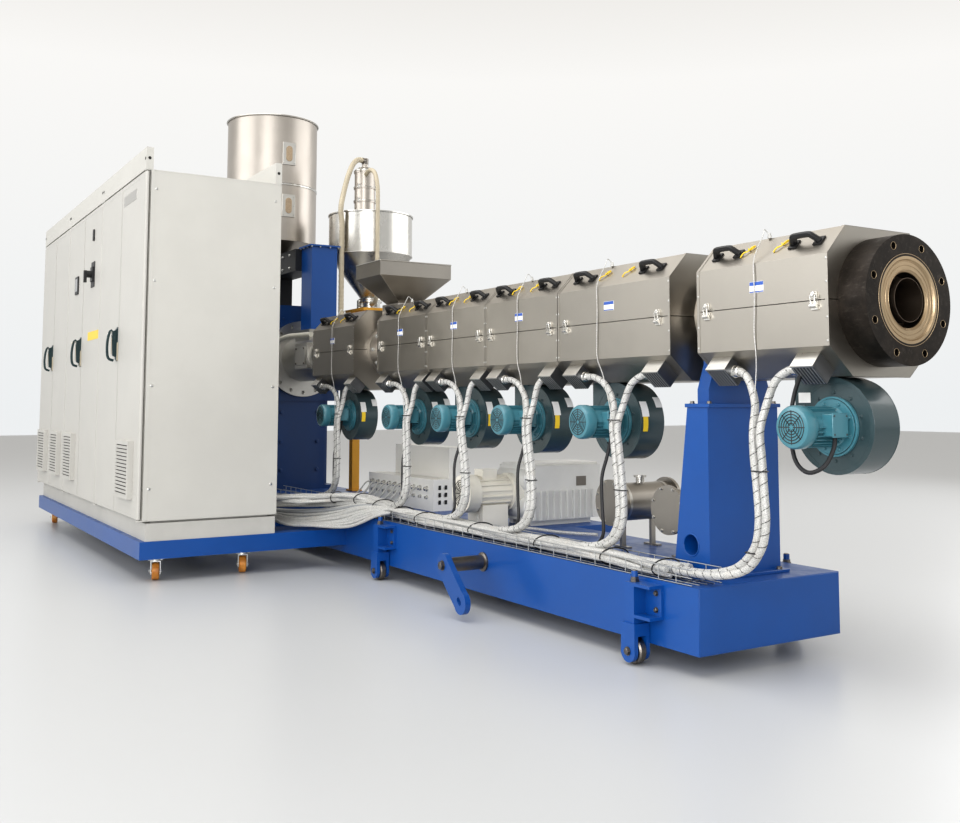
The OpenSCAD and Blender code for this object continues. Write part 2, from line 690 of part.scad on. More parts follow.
motor_h = 700;
module main_motor() {
    x1 = drive_face_x - gearbox_len;
    x0 = x1 - motor_len + 120;
    color([0.2, 0.35, 0.5]) place() {
        bar_x(x0 + 150, x1, 0, motor_h, motor_r);
        bar_x(x0, x0 + 150, 0, motor_h, motor_r + 28);
        for (k = [0:35]) translate([0, 0, motor_h]) rotate([10 * k, 0, 0])
            box(x0 + 140, x1 - 60, -4, 4, motor_r - 10, motor_r + 24);
        for (y = [-1, 1]) mirror([0, y < 0 ? 1 : 0, 0])
            box(x0 + 220, x1 - 90, 110, 220, base_top, motor_h - 120);
        box(x0 + 330, x0 + 590, -120, 120, motor_h + motor_r - 20, motor_h + motor_r + 150);
    }
}

// Blue square dosing column on the feed throat, with its feeder and the main hopper
column_flange = 18;
column_flange_t = 12;
feeder_h = 170;
feeder_y = 110;
hopper_x = 1351;
hopper_y = -94;
hopper_outlet_r = 80;
module dosing_column() {
    color([0.03, 0.22, 0.62]) place() {
        box(column_x - column_w / 2, column_x + column_w / 2, -column_w / 2, column_w / 2,
            throat_top, column_top - column_flange_t);
        box(column_x - column_w / 2 - column_flange, column_x + column_w / 2 + column_flange,
            -column_w / 2 - column_flange, column_w / 2 + column_flange, column_top - column_flange_t, column_top);
    }
}

feeder_top = column_top - column_flange_t - 1;
module dosing_feeder() {
    z0 = feeder_top - feeder_h;
    color([0.16, 0.17, 0.19]) place() {
        box(hopper_x - 190, column_x - column_w / 2, hopper_y - 60, feeder_y - 60, z0, feeder_top);
        bar_z(hopper_x, hopper_y, feeder_top, feeder_top + 10, hopper_outlet_r + 20);
        bar_x(hopper_x - 430, hopper_x - 190, -40, z0 + 80, 78);
        translate([hopper_x, -20, axis_h + gearbox_up]) linear_extrude(height = z0 - axis_h - gearbox_up)
            polygon([[-150, -90], [150, -90], [150, 60], [-150, 60]]);
    }
}

hopper_z = feeder_top + 10;
module main_hopper() {
    top = hopper_cone_h + hopper_h;
    color([0.7, 0.7, 0.69]) place() translate([hopper_x, hopper_y, hopper_z]) rotate_extrude($fn = 96)
        polygon([[hopper_outlet_r, 0], [hopper_r, hopper_cone_h], [hopper_r, top - 8], [hopper_r + 12, top - 8],
            [hopper_r + 12, top], [hopper_r - hopper_wall, top], [hopper_r - hopper_wall, hopper_cone_h + hopper_wall],
            [hopper_outlet_r - hopper_wall, hopper_wall], [hopper_outlet_r - hopper_wall, 0]]);
}

// Round feed hopper with its cone, slide valve and vacuum loader, on a yellow bracket stand
feed_cone_z = axis_h + 470;
feed_wall_z = feed_cone_z + feed_cone_h;
feed_lid_z = feed_wall_z + feed_hopper_h;
valve_h = 82;
valve_r = 92;
module feed_hopper() {
    color([0.75, 0.75, 0.74]) place() translate([feed_hopper_x, feed_hopper_y, 0]) {
        translate([0, 0, feed_cone_z]) rotate_extrude($fn = 96)
            polygon([[0, 0], [70, 0], [feed_hopper_r, feed_cone_h], [feed_hopper_r, feed_cone_h + feed_hopper_h],
                [feed_hopper_r + lid_rim, feed_cone_h + feed_hopper_h],
                [feed_hopper_r + lid_rim, feed_cone_h + feed_hopper_h + 8], [0, feed_cone_h + feed_hopper_h + 8]]);
        bar_z(0, 0, feed_cone_z - 20, feed_cone_z + 6, valve_r);
        bar_z(0, 0, feed_cone_z - valve_h + 20, feed_cone_z - 20, valve_r - 20);
        bar_z(0, 0, feed_cone_z - valve_h, feed_cone_z - valve_h + 20, valve_r);
    }
}

module vacuum_loader() {
    z0 = feed_lid_z + 8;
    color([0.68, 0.68, 0.67]) place() translate([loader_at[0], loader_at[1], z0]) {
        bar_z(0, 0, 0, loader_h, loader_r - 6);
        for (z = [4, 115, 225, 355]) bar_z(0, 0, z, z + 16, loader_r);
        bar_z(0, 0, loader_h, loader_h + 24, loader_r - 30);
        bar_z(0, 0, loader_h + 24, loader_h + 105, 25);
        bar_x(-loader_r - 55, 0, 0, 40, 18);
    }
}

stand_post = 60;
stand_x = 2120;
stand_y = 335;
stand_top = feed_cone_z - valve_h;
stand_plate = 20;
module feed_hopper_stand() {
    color([0.85, 0.55, 0.05]) place() {
        box(stand_x - stand_post / 2, stand_x + stand_post / 2, stand_y - stand_post / 2, stand_y + stand_post / 2,
            base_top + stand_plate / 2, stand_top - stand_plate);
        box(stand_x - stand_post, stand_x + stand_post, stand_y - stand_post / 2 - 10, base_w / 2 - 4,
            base_top, base_top + stand_plate / 2);
        box(stand_x - 250, stand_x + 210, stand_y - stand_post / 2, feed_hopper_y + valve_r + 28,
            stand_top - stand_plate, stand_top);
        for (x = [stand_x - stand_post / 2, stand_x + stand_post / 2 - 10])
            translate([x, stand_y + stand_post / 2, stand_top - stand_plate]) rotate([90, 0, 90]) linear_extrude(10)
                polygon([[0, 0], [180, 0], [0, -230]]);
    }
}

// Square vent hopper on the free barrel between the first two covers
tray_bottom = vent_port_top;
module vent_hopper() {
    top = tray_bottom + tray_funnel + tray_rim;
    mid = tray_bottom + tray_funnel;
    color([0.55, 0.52, 0.48]) place() translate([vent_x, 0, 0]) difference() {
        union() {
            box(-tray_len / 2, tray_len / 2, -tray_w / 2, tray_w / 2, mid, top);
            hull() {
                box(-tray_len / 2, tray_len / 2, -tray_w / 2, tray_w / 2, mid - 1, mid);
                box(-85, 85, -70, 70, tray_bottom, tray_bottom + 1);
            }
        }
        box(hopper_wall - tray_len / 2, tray_len / 2 - hopper_wall, hopper_wall - tray_w / 2,
            tray_w / 2 - hopper_wall, mid, top + 1);
        hull() {
            box(hopper_wall - tray_len / 2, tray_len / 2 - hopper_wall, hopper_wall - tray_w / 2,
                tray_w / 2 - hopper_wall, mid, mid + 1);
            box(-80, 80, -65, 65, tray_bottom - 1, tray_bottom);
        }
    }
}

// Suction hose from the vacuum loader's cap, over and down beside the feed hopper
hose_d = 42;
loader_at = [feed_hopper_x - 45, feed_hopper_y - 35];
loader_top = feed_lid_z + 8 + loader_h + 55;
hose_way = [0.474, -0.88];
hose_points = [
    for (r = [25.3, 38, 55]) [loader_at[0] + hose_way[0] * r, loader_at[1] + hose_way[1] * r, loader_top + 28],
    [loader_at[0] + 52, loader_at[1] - 92, loader_top + 16], [loader_at[0] + 84, loader_at[1] - 142, loader_top - 30],
    [loader_at[0] + 118, loader_at[1] - 196, loader_top - 130],
    [port_x - 51, port_y + 34, feed_lid_z + 159], [port_x - 1, port_y - 10, feed_lid_z + 19],
    for (up = [825, 645, 345, 145, 45, 0.3]) [port_x, port_y, throat_top + up]
];
module suction_hose() {
    color([0.75, 0.68, 0.52]) place() swept_tube(smooth(hose_points), hose_d, hose_d, up = [1, 0, 0]);
}

// Return pipe from the loader's flank down beside the feed hopper to the valve under its cone
pipe_d = 34;
pipe_way = [0.955, -0.297];
pipe_low = feed_cone_z - 41;
pipe_high = loader_top - 95;
pipe_points = [
    for (r = [loader_r - 5.7, loader_r + 20, loader_r + 45])
        [loader_at[0] + pipe_way[0] * r, loader_at[1] + pipe_way[1] * r, pipe_high],
    [2300, 364, pipe_high - 2], [2400, 354, feed_lid_z + 299], [2455, 350, feed_lid_z + 209],
    [2470, 350, feed_lid_z + 79], [2470, 350, feed_lid_z - 81], [2470, 350, feed_cone_z + 280],
    [2468, 350, feed_cone_z + 80], [2440, 359, feed_cone_z - 10],
    for (r = [270, 135, 100, valve_r - 19.7])
        [feed_hopper_x + pipe_way[0] * r, feed_hopper_y + pipe_way[1] * r, pipe_low]
];
module loader_pipe() {
    color([0.75, 0.68, 0.52]) place() swept_tube(smooth(pipe_points), pipe_d, pipe_d, up = [0.297, 0.955, 0]);
}

// Platform: welded frame that carries the cabinets and reaches to the base
platform_beams = 4;
platform_front_y = cabinet_front_y - 19;
module platform_frame() {
    color([0.03, 0.2, 0.56]) place() {
        for (y = [-platform_front_y, -cabinet_back_y - platform_beam])
            box(row_start_x, row_end_x, y, y + platform_beam, caster_h, platform_top);
        pitch = (row_end_x - row_start_x - platform_beam) / (platform_beams - 1);
        for (i = [0:platform_beams - 1])
            box(row_start_x + i * pitch, row_start_x + i * pitch + platform_beam,
                -platform_front_y, -base_w / 2, caster_h, platform_top);
    }
}

caster_inset = 96;
caster_turn = -14;
caster_places = [
    [row_end_x - caster_inset, -platform_front_y + 115], [row_end_x - caster_inset, -cabinet_back_y - 170],
    [row_start_x + caster_inset, -platform_front_y + 115], [row_start_x + caster_inset, -cabinet_back_y - 170]
];
module caster_forks() {
    cheek = 5;
    color([0.6, 0.6, 0.6]) place() for (p = caster_places) translate([p[0], p[1], 0]) rotate([0, 0, caster_turn]) {
        box(-52, 52, -48, 48, caster_h - 6, caster_h);
        bar_z(0, 0, caster_h - 20, caster_h - 6, 34);
        box(-26, 26, -caster_w / 2 - 3 - cheek, caster_w / 2 + 3 + cheek, 2 * caster_r + 3, caster_h - 20);
        for (side = [-1, 1]) mirror([0, side < 0 ? 1 : 0, 0]) difference() {
            box(-26, 26, caster_w / 2 + 3, caster_w / 2 + 3 + cheek, caster_r - 16, 2 * caster_r + 3);
            bar_y(0, caster_w / 2, caster_w / 2 + 20, caster_r, 8);
        }
    }
}

module caster_wheels() {
    color([0.62, 0.36, 0.1]) place() for (p = caster_places) translate([p[0], p[1], 0]) rotate([0, 0, caster_turn]) {
        translate([0, caster_w / 2, caster_r]) rotate([90, 0, 0]) rotate_extrude($fn = 64)
            polygon([[0, 0], [caster_r - 5, 0], [caster_r, 5], [caster_r, caster_w - 5],
                [caster_r - 5, caster_w], [0, caster_w]]);
        bar_y(0, -caster_w / 2 - 14, caster_w / 2 + 14, caster_r, 7.7);
    }
}

// Cabinet row: one shell with three bays, end panels, plinth and lifting rails.
// Each leaf turns on a pin in the middle of its rounded outer edge, held in a lug above and below.
leaf_w = cabinet_w / 2;
shell_front_y = -cabinet_front_y + door_t + door_gap;
leaf_low = shell_bottom + lug_t + door_gap;
leaf_high = shell_top - lug_t - door_gap;
function hinge_x(i) = i % 2 == 1
    ? row_start_x + (i - 1) * leaf_w + door_gap / 2 + door_t / 2
    : row_start_x + i * leaf_w - door_gap / 2 - door_t / 2;
hinge_y = -cabinet_front_y + door_t / 2;

entry_x = row_end_x - 300;
entry_w = 220;
entry_h = 75;
module cabinet_shell() {
    x0 = row_start_x + wall_t;
    x1 = row_end_x - wall_t;
    color([0.82, 0.82, 0.8]) place() {
        difference() {
            box(x0, x1, shell_front_y, -cabinet_back_y, shell_bottom, shell_top);
            box(entry_x - entry_w / 2, entry_x + entry_w / 2, -cabinet_back_y - wall_t - 1, -cabinet_back_y + 1,
                shell_bottom + wall_t, shell_bottom + wall_t + entry_h);
            for (i = [0:2]) box(
                max(x0 + wall_t, row_start_x + i * cabinet_w + wall_t),
                min(x1 - wall_t, row_start_x + (i + 1) * cabinet_w - wall_t),
                shell_front_y - 1, -cabinet_back_y - wall_t, shell_bottom + wall_t, shell_top - wall_t);
        }
        for (i = [1:6]) for (z = [shell_bottom, shell_top - lug_t]) difference() {
            box(hinge_x(i) - door_t / 2 - (i % 2 == 0 ? 12 : 0), hinge_x(i) + door_t / 2 + (i % 2 == 1 ? 12 : 0),
                -cabinet_front_y + 1, shell_front_y + 2, z, z + lug_t);
            bar_z(hinge_x(i), hinge_y, z - 1, z + lug_t + 1, pin_r + pin_fit);
        }
        for (y = [-cabinet_front_y, -cabinet_back_y - lift_rail_w])
            box(row_start_x, row_end_x, y, y + lift_rail_w, shell_top - 1, shell_top + lift_rail_h);
    }
}

module cabinet_end_panels() {
    color([0.82, 0.81, 0.77]) place() for (x = [row_start_x, row_end_x - wall_t])
        box(x, x + wall_t, shell_front_y + 2.3, -cabinet_back_y, shell_bottom, shell_top - 1.3);
}

module cabinet_plinth() {
    x0 = row_start_x;
    x1 = row_end_x;
    y0 = 25 - platform_front_y;
    y1 = -cabinet_back_y;
    color([0.82, 0.81, 0.78]) place() {
        box(x0 + 6, x1 - 6, y0 + 6, y1 - 6, platform_top, platform_top + plinth_h);
        box(x0 + 40, x1 - 40, y0 + 40, y1 - 40, platform_top + plinth_h, shell_bottom);
    }
}

// Door leaves: odd ones hinge on their left edge, even ones on their right edge, seen from the front
vent_leaves = [1, 2, 3, 6];
vent_w = 340;
vent_h = 330;
vent_t = 30;
vent_low = 115;
module louvre_vent() {
    difference() {
        translate([-vent_w / 2, -vent_t, 0]) cube([vent_w, vent_t, vent_h]);
        for (k = [0:13]) translate([-vent_w / 2 + 30, -vent_t - 1, 24 + k * 21]) cube([vent_w - 60, 9, 9]);
    }
}

module door_leaf(i) {
    x0 = row_start_x + (i - 1) * leaf_w + door_gap / 2;
    x1 = row_start_x + i * leaf_w - door_gap / 2;
    color([0.8, 0.8, 0.78]) place() {
        box(i % 2 == 1 ? hinge_x(i) : x0, i % 2 == 1 ? x1 : hinge_x(i),
            -cabinet_front_y, -cabinet_front_y + door_t, leaf_low, leaf_high);
        bar_z(hinge_x(i), hinge_y, leaf_low, leaf_high, door_t / 2);
        bar_z(hinge_x(i), hinge_y, shell_bottom + 0.3, shell_top - 1.3, pin_r);
        if (len(search(i, vent_leaves)) > 0)
            translate([(x0 + x1) / 2, -cabinet_front_y, shell_bottom + vent_low]) louvre_vent();
    }
}

handle_h = 190;
module door_handle(i) {
    x = row_start_x + i * leaf_w - 34;
    z = shell_bottom + cabinet_h / 2 + 22;
    color([0.05, 0.12, 0.13]) place() translate([x, -cabinet_front_y, z]) {
        box(-16, 16, -10, 0, -handle_h / 2, handle_h / 2);
        translate([-11, 0, 0]) rotate([90, 0, 90]) linear_extrude(22)
            polygon([[-10, -80], [-28, -70], [-34, 50], [-30, 80], [-10, 88]]);
    }
}

switch_x = 2165;
switch_z = 1880;
module main_switch() {
    color([0.12, 0.12, 0.12]) place() translate([switch_x, -cabinet_front_y, switch_z]) {
        box(-36, 36, -14, 0, -50, 50);
        bar_y(0, -44, -14, 0, 24);
        box(-14, 14, -switch_reach, -44, -58, 24);
    }
}

base_frame();
jack_brackets();
jack_wheels();
tow_lever();
lever_shaft();
front_pedestal();
barrel();
die_flange();
centring_ring();
heater_cover(0);  // heater_cover_1
heater_cover(1);  // heater_cover_2
heater_cover(2);  // heater_cover_3
heater_cover(3);  // heater_cover_4
heater_cover(4);  // heater_cover_5
heater_cover(5);  // heater_cover_6
terminal_boxes();
blower_housings();
blower_motors();
heater_conduits();
cable_tray();
cable_bundle();
pump_shelf();
vacuum_pump();
pump_motor();
junction_box();
separator_tanks();
feed_section();
gearbox();
main_motor();
dosing_column();
dosing_feeder();
main_hopper();
feed_hopper();
vent_hopper();
vacuum_loader();
feed_hopper_stand();
suction_hose();
loader_pipe();
platform_frame();
caster_forks();
caster_wheels();
cabinet_shell();
cabinet_end_panels();
cabinet_plinth();
door_leaf(1);  // door_leaf_1
door_leaf(2);  // door_leaf_2
door_leaf(3);  // door_leaf_3
door_leaf(4);  // door_leaf_4
door_leaf(5);  // door_leaf_5
door_leaf(6);  // door_leaf_6
door_handle(1);  // door_handle_1
door_handle(3);  // door_handle_3
door_handle(5);  // door_handle_5
main_switch();
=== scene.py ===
"""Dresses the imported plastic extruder: finishes, heater details, leads, hoppers and cabinets.

Lengths are millimetres on the machine's own plan, as in the part's source: x from the cabinet
row's far end towards the die, y from the barrel axis away from the cabinet doors, z from the floor.
"""
import math
import random
from itertools import product

import bmesh
import bpy
from mathutils import Matrix, Vector


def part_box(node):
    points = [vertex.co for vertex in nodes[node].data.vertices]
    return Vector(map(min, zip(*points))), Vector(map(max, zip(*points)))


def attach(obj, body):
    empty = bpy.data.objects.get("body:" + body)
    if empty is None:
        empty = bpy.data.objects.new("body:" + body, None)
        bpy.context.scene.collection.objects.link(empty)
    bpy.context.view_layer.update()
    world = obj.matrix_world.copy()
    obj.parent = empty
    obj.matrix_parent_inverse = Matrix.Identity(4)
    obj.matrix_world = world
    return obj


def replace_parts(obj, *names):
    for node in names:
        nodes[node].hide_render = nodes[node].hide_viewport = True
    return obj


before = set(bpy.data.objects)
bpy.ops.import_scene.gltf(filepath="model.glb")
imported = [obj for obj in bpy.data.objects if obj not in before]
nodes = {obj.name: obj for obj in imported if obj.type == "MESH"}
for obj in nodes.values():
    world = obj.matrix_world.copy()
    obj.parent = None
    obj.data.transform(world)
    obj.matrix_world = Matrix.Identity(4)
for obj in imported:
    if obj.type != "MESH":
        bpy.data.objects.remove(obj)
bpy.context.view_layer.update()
scene = bpy.context.scene

# ---------------------------------------------------------------- plan of the machine
AXIS = 1350.0
FACE_X = 7409.0
ZONES = [(2738, 695), (3783, 642), (4429, 642), (5075, 642), (5721, 775), (6654, 637)]
DECK = 325.0
BASE_SIDE = 379.0
FRONT_X = 6760.0
DOOR_Y = -1640.0
ROW_START, ROW_END = 60.0, 3600.0
BAY, LEAF = 1180.0, 590.0
FAN_Z = 920.0
FANS = [3120.5, 4121, 4730, 5347, 6005.5, 7205.5]
LEADS = [3213.5, 4214, 4840, 5472, 6145.5, 6954.5]
INSETS = [14, 14, 25, 35, 60, 60]
COVER_SIDE = 265
SADDLE_X = 6575

UP, DOWN = (0, 0, 1), (0, 0, -1)
AHEAD, BACK = (1, 0, 0), (-1, 0, 0)
NEAR, FAR = (0, -1, 0), (0, 1, 0)

flange_low, flange_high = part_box("die_flange")
ORIGIN = Vector((flange_high[0] - FACE_X / 1000, (flange_low[1] + flange_high[1]) / 2, 0))


def at(x, y, z):
    """A point of the plan, in the frame's metres."""
    return ORIGIN + Vector((x, y, z)) / 1000


def linked(name, data):
    """A new object that is in the scene."""
    made = bpy.data.objects.new(name, data)
    scene.collection.objects.link(made)
    return made


# ---------------------------------------------------------------- camera, light and backdrop
PHOTO_WIDE, PHOTO_HIGH = 960, 823
LENS_X, LENS_Y, LENS_LENGTH = 501.3, 319.0, 1041.6  # in the photograph's pixels
SENSOR = 36

camera = linked("camera", bpy.data.cameras.new("camera"))
camera.location = at(9651, -3045, 1000)
camera.rotation_euler = (math.radians(94.63), 0, math.radians(57.85))
camera.data.sensor_width = SENSOR
camera.data.lens = LENS_LENGTH * SENSOR / PHOTO_WIDE
camera.data.shift_x = (PHOTO_WIDE / 2 - LENS_X) / PHOTO_WIDE
camera.data.shift_y = (LENS_Y - PHOTO_HIGH / 2) / PHOTO_WIDE
scene.camera = camera

for name, place, aim, power, size in (
        ("top_light", (1.0, -2.5, 8.5), (1.0, 0, 0), 620, (14, 7)),
        ("front_light", (8.5, -6.5, 3.6), (1.5, 0, 1.2), 330, (6, 4)),
        ("side_light", (-2.0, -9.0, 4.5), (0, 0, 1.2), 260, (9, 4)),
        ("low_light", (6.5, -6.0, 1.3), (1.6, 0, 0.5), 120, (5, 1.4)),
        ("far_light", (2.0, 8.0, 4.0), (0, 0, 1.5), 220, (9, 4))):
    light = bpy.data.lights.new(name, "AREA")
    light.energy = power
    light.shape = "RECTANGLE"
    light.size, light.size_y = size
    lamp = linked(name, light)
    lamp.location = place
    lamp.rotation_euler = (Vector(aim) - Vector(place)).to_track_quat("-Z", "Y").to_euler()

world = bpy.data.worlds.new("studio")
scene.world = world
world.use_nodes = True
tree = world.node_tree
backdrop = tree.nodes["Background"]
sky, way, split = (tree.nodes.new("ShaderNode" + kind) for kind in ("ValToRGB", "TexCoord", "SeparateXYZ"))
tree.links.new(way.outputs["Generated"], split.inputs[0])
tree.links.new(split.outputs[2], sky.inputs[0])
tree.links.new(sky.outputs[0], backdrop.inputs[0])
sky_tones = ((0.0, (0.90, 0.92, 0.93)), (0.3, (1.0, 0.99, 0.97)), (0.62, (0.62, 0.58, 0.52)),
             (1.0, (0.50, 0.47, 0.42)))
while len(sky.color_ramp.elements) < len(sky_tones):
    sky.color_ramp.elements.new(0.5)
for stop, (place, colour) in zip(sky.color_ramp.elements, sky_tones):
    stop.position, stop.color = place, (*colour, 1)
backdrop.inputs[1].default_value = 0.8
scene.view_settings.view_transform = "Standard"
scene.view_settings.look = "Medium High Contrast"
scene.view_settings.exposure = 0.0


# ---------------------------------------------------------------- shader expressions
class Link:
    """A socket that is written into sums like a number."""

    def __init__(self, tree, socket):
        self.tree, self.socket = tree, socket

    def sum(self, operation, first, second):
        node = self.tree.nodes.new("ShaderNodeMath")
        node.operation = operation
        for slot, value in zip(node.inputs, (first, second)):
            feed(slot, value)
        return Link(self.tree, node.outputs[0])

    def __add__(self, other):
        return self.sum("ADD", self, other)

    def __sub__(self, other):
        return self.sum("SUBTRACT", self, other)

    def __rsub__(self, other):
        return self.sum("SUBTRACT", other, self)

    def __mul__(self, other):
        return self.sum("MULTIPLY", self, other)

    def between(self, low, high):
        """0 below low, 1 above high, smooth between."""
        node = self.tree.nodes.new("ShaderNodeMapRange")
        node.interpolation_type = "SMOOTHSTEP"
        feed(node.inputs["Value"], self)
        feed(node.inputs["From Min"], low)
        feed(node.inputs["From Max"], high)
        return Link(self.tree, node.outputs[0])


def feed(slot, value):
    """Links or sets a socket."""
    if isinstance(value, Link):
        value.tree.links.new(value.socket, slot)
    else:
        slot.default_value = (*value, 1) if slot.type == "RGBA" else value


class Finish:
    """One procedural material."""

    def __init__(self, name, **shader):
        self.material = bpy.data.materials.new(name)
        self.material.use_nodes = True
        self.tree = self.material.node_tree
        self.shader = self.tree.nodes["Principled BSDF"]
        for socket, value in shader.items():
            self.set(socket.replace("_", " "), value)

    def node(self, kind, output=0, **sockets):
        made = self.tree.nodes.new("ShaderNode" + kind)
        for key, value in sockets.items():
            feed(made.inputs[key], value)
        return Link(self.tree, made.outputs[output])

    def set(self, socket, value):
        feed(self.shader.inputs[socket], value)
        return self

    def place(self, scale=(1, 1, 1)):
        spot = self.node("TexCoord", output=3)
        return self.node("Mapping", Vector=spot, Scale=scale)

    def noise(self, scale, detail=3.0, rough=0.55, stretch=(1, 1, 1)):
        return self.node("TexNoise", Vector=self.place(stretch), Scale=scale, Detail=detail, Roughness=rough)

    def cells(self, scale):
        return self.node("TexVoronoi", Vector=self.place(), Scale=scale)

    def facing_up(self):
        return self.node("SeparateXYZ", output=2, Vector=self.node("NewGeometry", output=1))

    def blend(self, mask, first, second):
        made = self.tree.nodes.new("ShaderNodeMix")
        made.data_type = "RGBA"
        for slot, value in zip((made.inputs[0], made.inputs[6], made.inputs[7]), (mask, first, second)):
            feed(slot, value)
        return Link(self.tree, made.outputs[2])

    def bump(self, height, strength, distance):
        return self.set("Normal", self.node("Bump", Height=height, Strength=strength, Distance=distance))


def shade(colour, share):
    """A darker tone of a colour."""
    return tuple(c * share for c in colour)


def brushed(name, colour, rough, streak, deep=0.16, stained=0.0, tint=(0.42, 0.36, 0.28)):
    """Brushed or machined bare metal; streak stretches the grain."""
    f = Finish(name, Metallic=1.0)
    grain = f.noise(90, 3, 0.7, streak)
    cloud = f.noise(2.6, 4, 0.6)
    base = f.blend(grain * 0.5 + cloud.between(0.35, 0.7) * 0.5, shade(colour, 1 - deep), colour)
    if stained:
        base = f.blend(f.noise(5.5, 6, 0.65).between(0.56, 0.78) * stained, base, tint)
    f.set("Base Color", base)
    f.set("Roughness", cloud.between(0.3, 0.75) * 0.1 + grain * 0.1 + (rough - 0.08))
    return f.bump(grain, 0.12, 0.0004)


def painted(name, colour, rough, coat=0.0, dust=0.1, peel=0.08, drift=0.1):
    """Sprayed paint with orange peel, a drift of tone and dust on what faces up."""
    f = Finish(name, Coat_Roughness=0.12)
    cloud = f.noise(3.2, 4, 0.6)
    fine = f.noise(420, 2, 0.5)
    base = f.blend(cloud.between(0.3, 0.7), shade(colour, 1 - drift), colour)
    lying = f.facing_up().between(0.55, 0.95) * f.noise(9, 5, 0.6).between(0.35, 0.75)
    f.set("Base Color", f.blend(lying * dust, base, (0.42, 0.40, 0.37)))
    f.set("Roughness", lying * 0.25 + cloud * 0.08 + (rough - 0.04))
    f.set("Coat Weight", coat)
    return f.bump(fine, peel, 0.0006)


def moulded(name, colour, rough, grain=600, strength=0.12):
    """Moulded plastic or rubber with a fine even grain."""
    f = Finish(name)
    fine = f.noise(grain, 2, 0.5)
    cloud = f.noise(7, 3, 0.6)
    f.set("Base Color", f.blend(cloud.between(0.3, 0.75), shade(colour, 0.86), colour))
    f.set("Roughness", fine * 0.12 + cloud * 0.08 + (rough - 0.1))
    return f.bump(fine, strength, 0.0005)


BLUE = painted("blue_enamel", (0.0, 0.068, 0.29), 0.4, 0.2, 0.04, 0.05)
# painted shade: the base's blue enamel darkened for the gearbox, which stands in shadow
SHADED_BLUE = painted("blue_enamel_painted_shade", (0.0, 0.038, 0.155), 0.4, 0.2, 0.06, 0.07)
CABINET = painted("cabinet_powder_coat", (0.54, 0.53, 0.495), 0.46, 0.0, 0.06, 0.10, 0.04)
DOORS = painted("door_powder_coat", (0.50, 0.49, 0.46), 0.44, 0.0, 0.05, 0.10, 0.04)
PLINTH = painted("plinth_powder_coat", (0.50, 0.49, 0.46), 0.5, 0.0, 0.15, 0.10)
TEAL = painted("teal_motor_enamel", (0.060, 0.205, 0.255), 0.30, 0.5, 0.12, 0.05)
SCROLL = painted("slate_scroll_paint", (0.036, 0.064, 0.072), 0.32, 0.45, 0.12, 0.06)
WHITE = painted("white_enamel", (0.86, 0.845, 0.80), 0.38, 0.1, 0.05, 0.06, 0.04)
CREAM = painted("cream_motor_enamel", (0.78, 0.75, 0.67), 0.36, 0.25, 0.08, 0.06)
PUMP = painted("grey_cast_enamel", (0.66, 0.655, 0.63), 0.42, 0.15, 0.08, 0.12)
YELLOW = painted("yellow_enamel", (0.62, 0.30, 0.012), 0.40, 0.2, 0.18, 0.08)
DRIVE = painted("motor_blue_enamel", (0.03, 0.09, 0.2), 0.38, 0.2, 0.3, 0.12)
BLACK = painted("black_satin_paint", (0.014, 0.015, 0.018), 0.45, 0.0, 0.3, 0.12)
PANEL_WHITE = painted("blank_label_white", (0.78, 0.78, 0.77), 0.4, 0.0, 0.0, 0.02, 0.03)
PANEL_BLUE = painted("blank_label_blue", (0.03, 0.10, 0.42), 0.4, 0.0, 0.0, 0.02, 0.03)
TAG_YELLOW = painted("blank_tag_yellow", (0.80, 0.56, 0.03), 0.4, 0.0, 0.0, 0.02, 0.03)

COVER = brushed("brushed_cover_sheet", (0.42, 0.395, 0.355), 0.36, (0.6, 0.6, 9), 0.14, 0.25)
HOPPER = brushed("rolled_hopper_sheet", (0.60, 0.585, 0.55), 0.26, (6, 6, 0.25), 0.12)
DULL_SHEET = brushed("dull_hopper_sheet", (0.46, 0.425, 0.385), 0.36, (6, 6, 0.25), 0.14, 0.2)
FUNNEL = brushed("funnel_sheet", (0.40, 0.375, 0.34), 0.33, (5, 1, 1), 0.16, 0.35)
BRIGHT = brushed("bright_folded_sheet", (0.60, 0.585, 0.55), 0.30, (3, 3, 3), 0.08)
BOX_STEEL = brushed("terminal_box_steel", (0.22, 0.225, 0.235), 0.42, (3, 3, 3), 0.2)
BOX_RIB = brushed("terminal_box_ribs", (0.62, 0.62, 0.60), 0.4, (3, 3, 3), 0.2)
BARREL = brushed("turned_barrel_steel", (0.50, 0.47, 0.43), 0.34, (14, 1, 1), 0.2, 0.6, (0.30, 0.22, 0.13))
FEED = brushed("feed_block_steel", (0.56, 0.55, 0.52), 0.36, (3, 3, 3), 0.14, 0.3)
ZINC = brushed("zinc_plate", (0.66, 0.66, 0.64), 0.34, (1, 1, 4), 0.2, 0.2, (0.5, 0.46, 0.36))
WIRE = brushed("galvanised_wire", (0.52, 0.53, 0.53), 0.42, (2, 2, 2), 0.2)
BRONZE = brushed("bronze_ring", (0.56, 0.43, 0.28), 0.36, (1, 6, 6), 0.3, 0.7, (0.20, 0.14, 0.10))
CHROME = brushed("bright_latch_steel", (0.66, 0.65, 0.62), 0.2, (3, 3, 3), 0.08)
SHAFT = brushed("oiled_shaft_steel", (0.24, 0.22, 0.20), 0.36, (9, 1, 1), 0.3, 0.4, (0.18, 0.10, 0.05))
OILED_BORE = brushed("oiled_bore_steel", (0.30, 0.24, 0.19), 0.4, (1, 9, 9), 0.3, 0.5, (0.16, 0.10, 0.06))

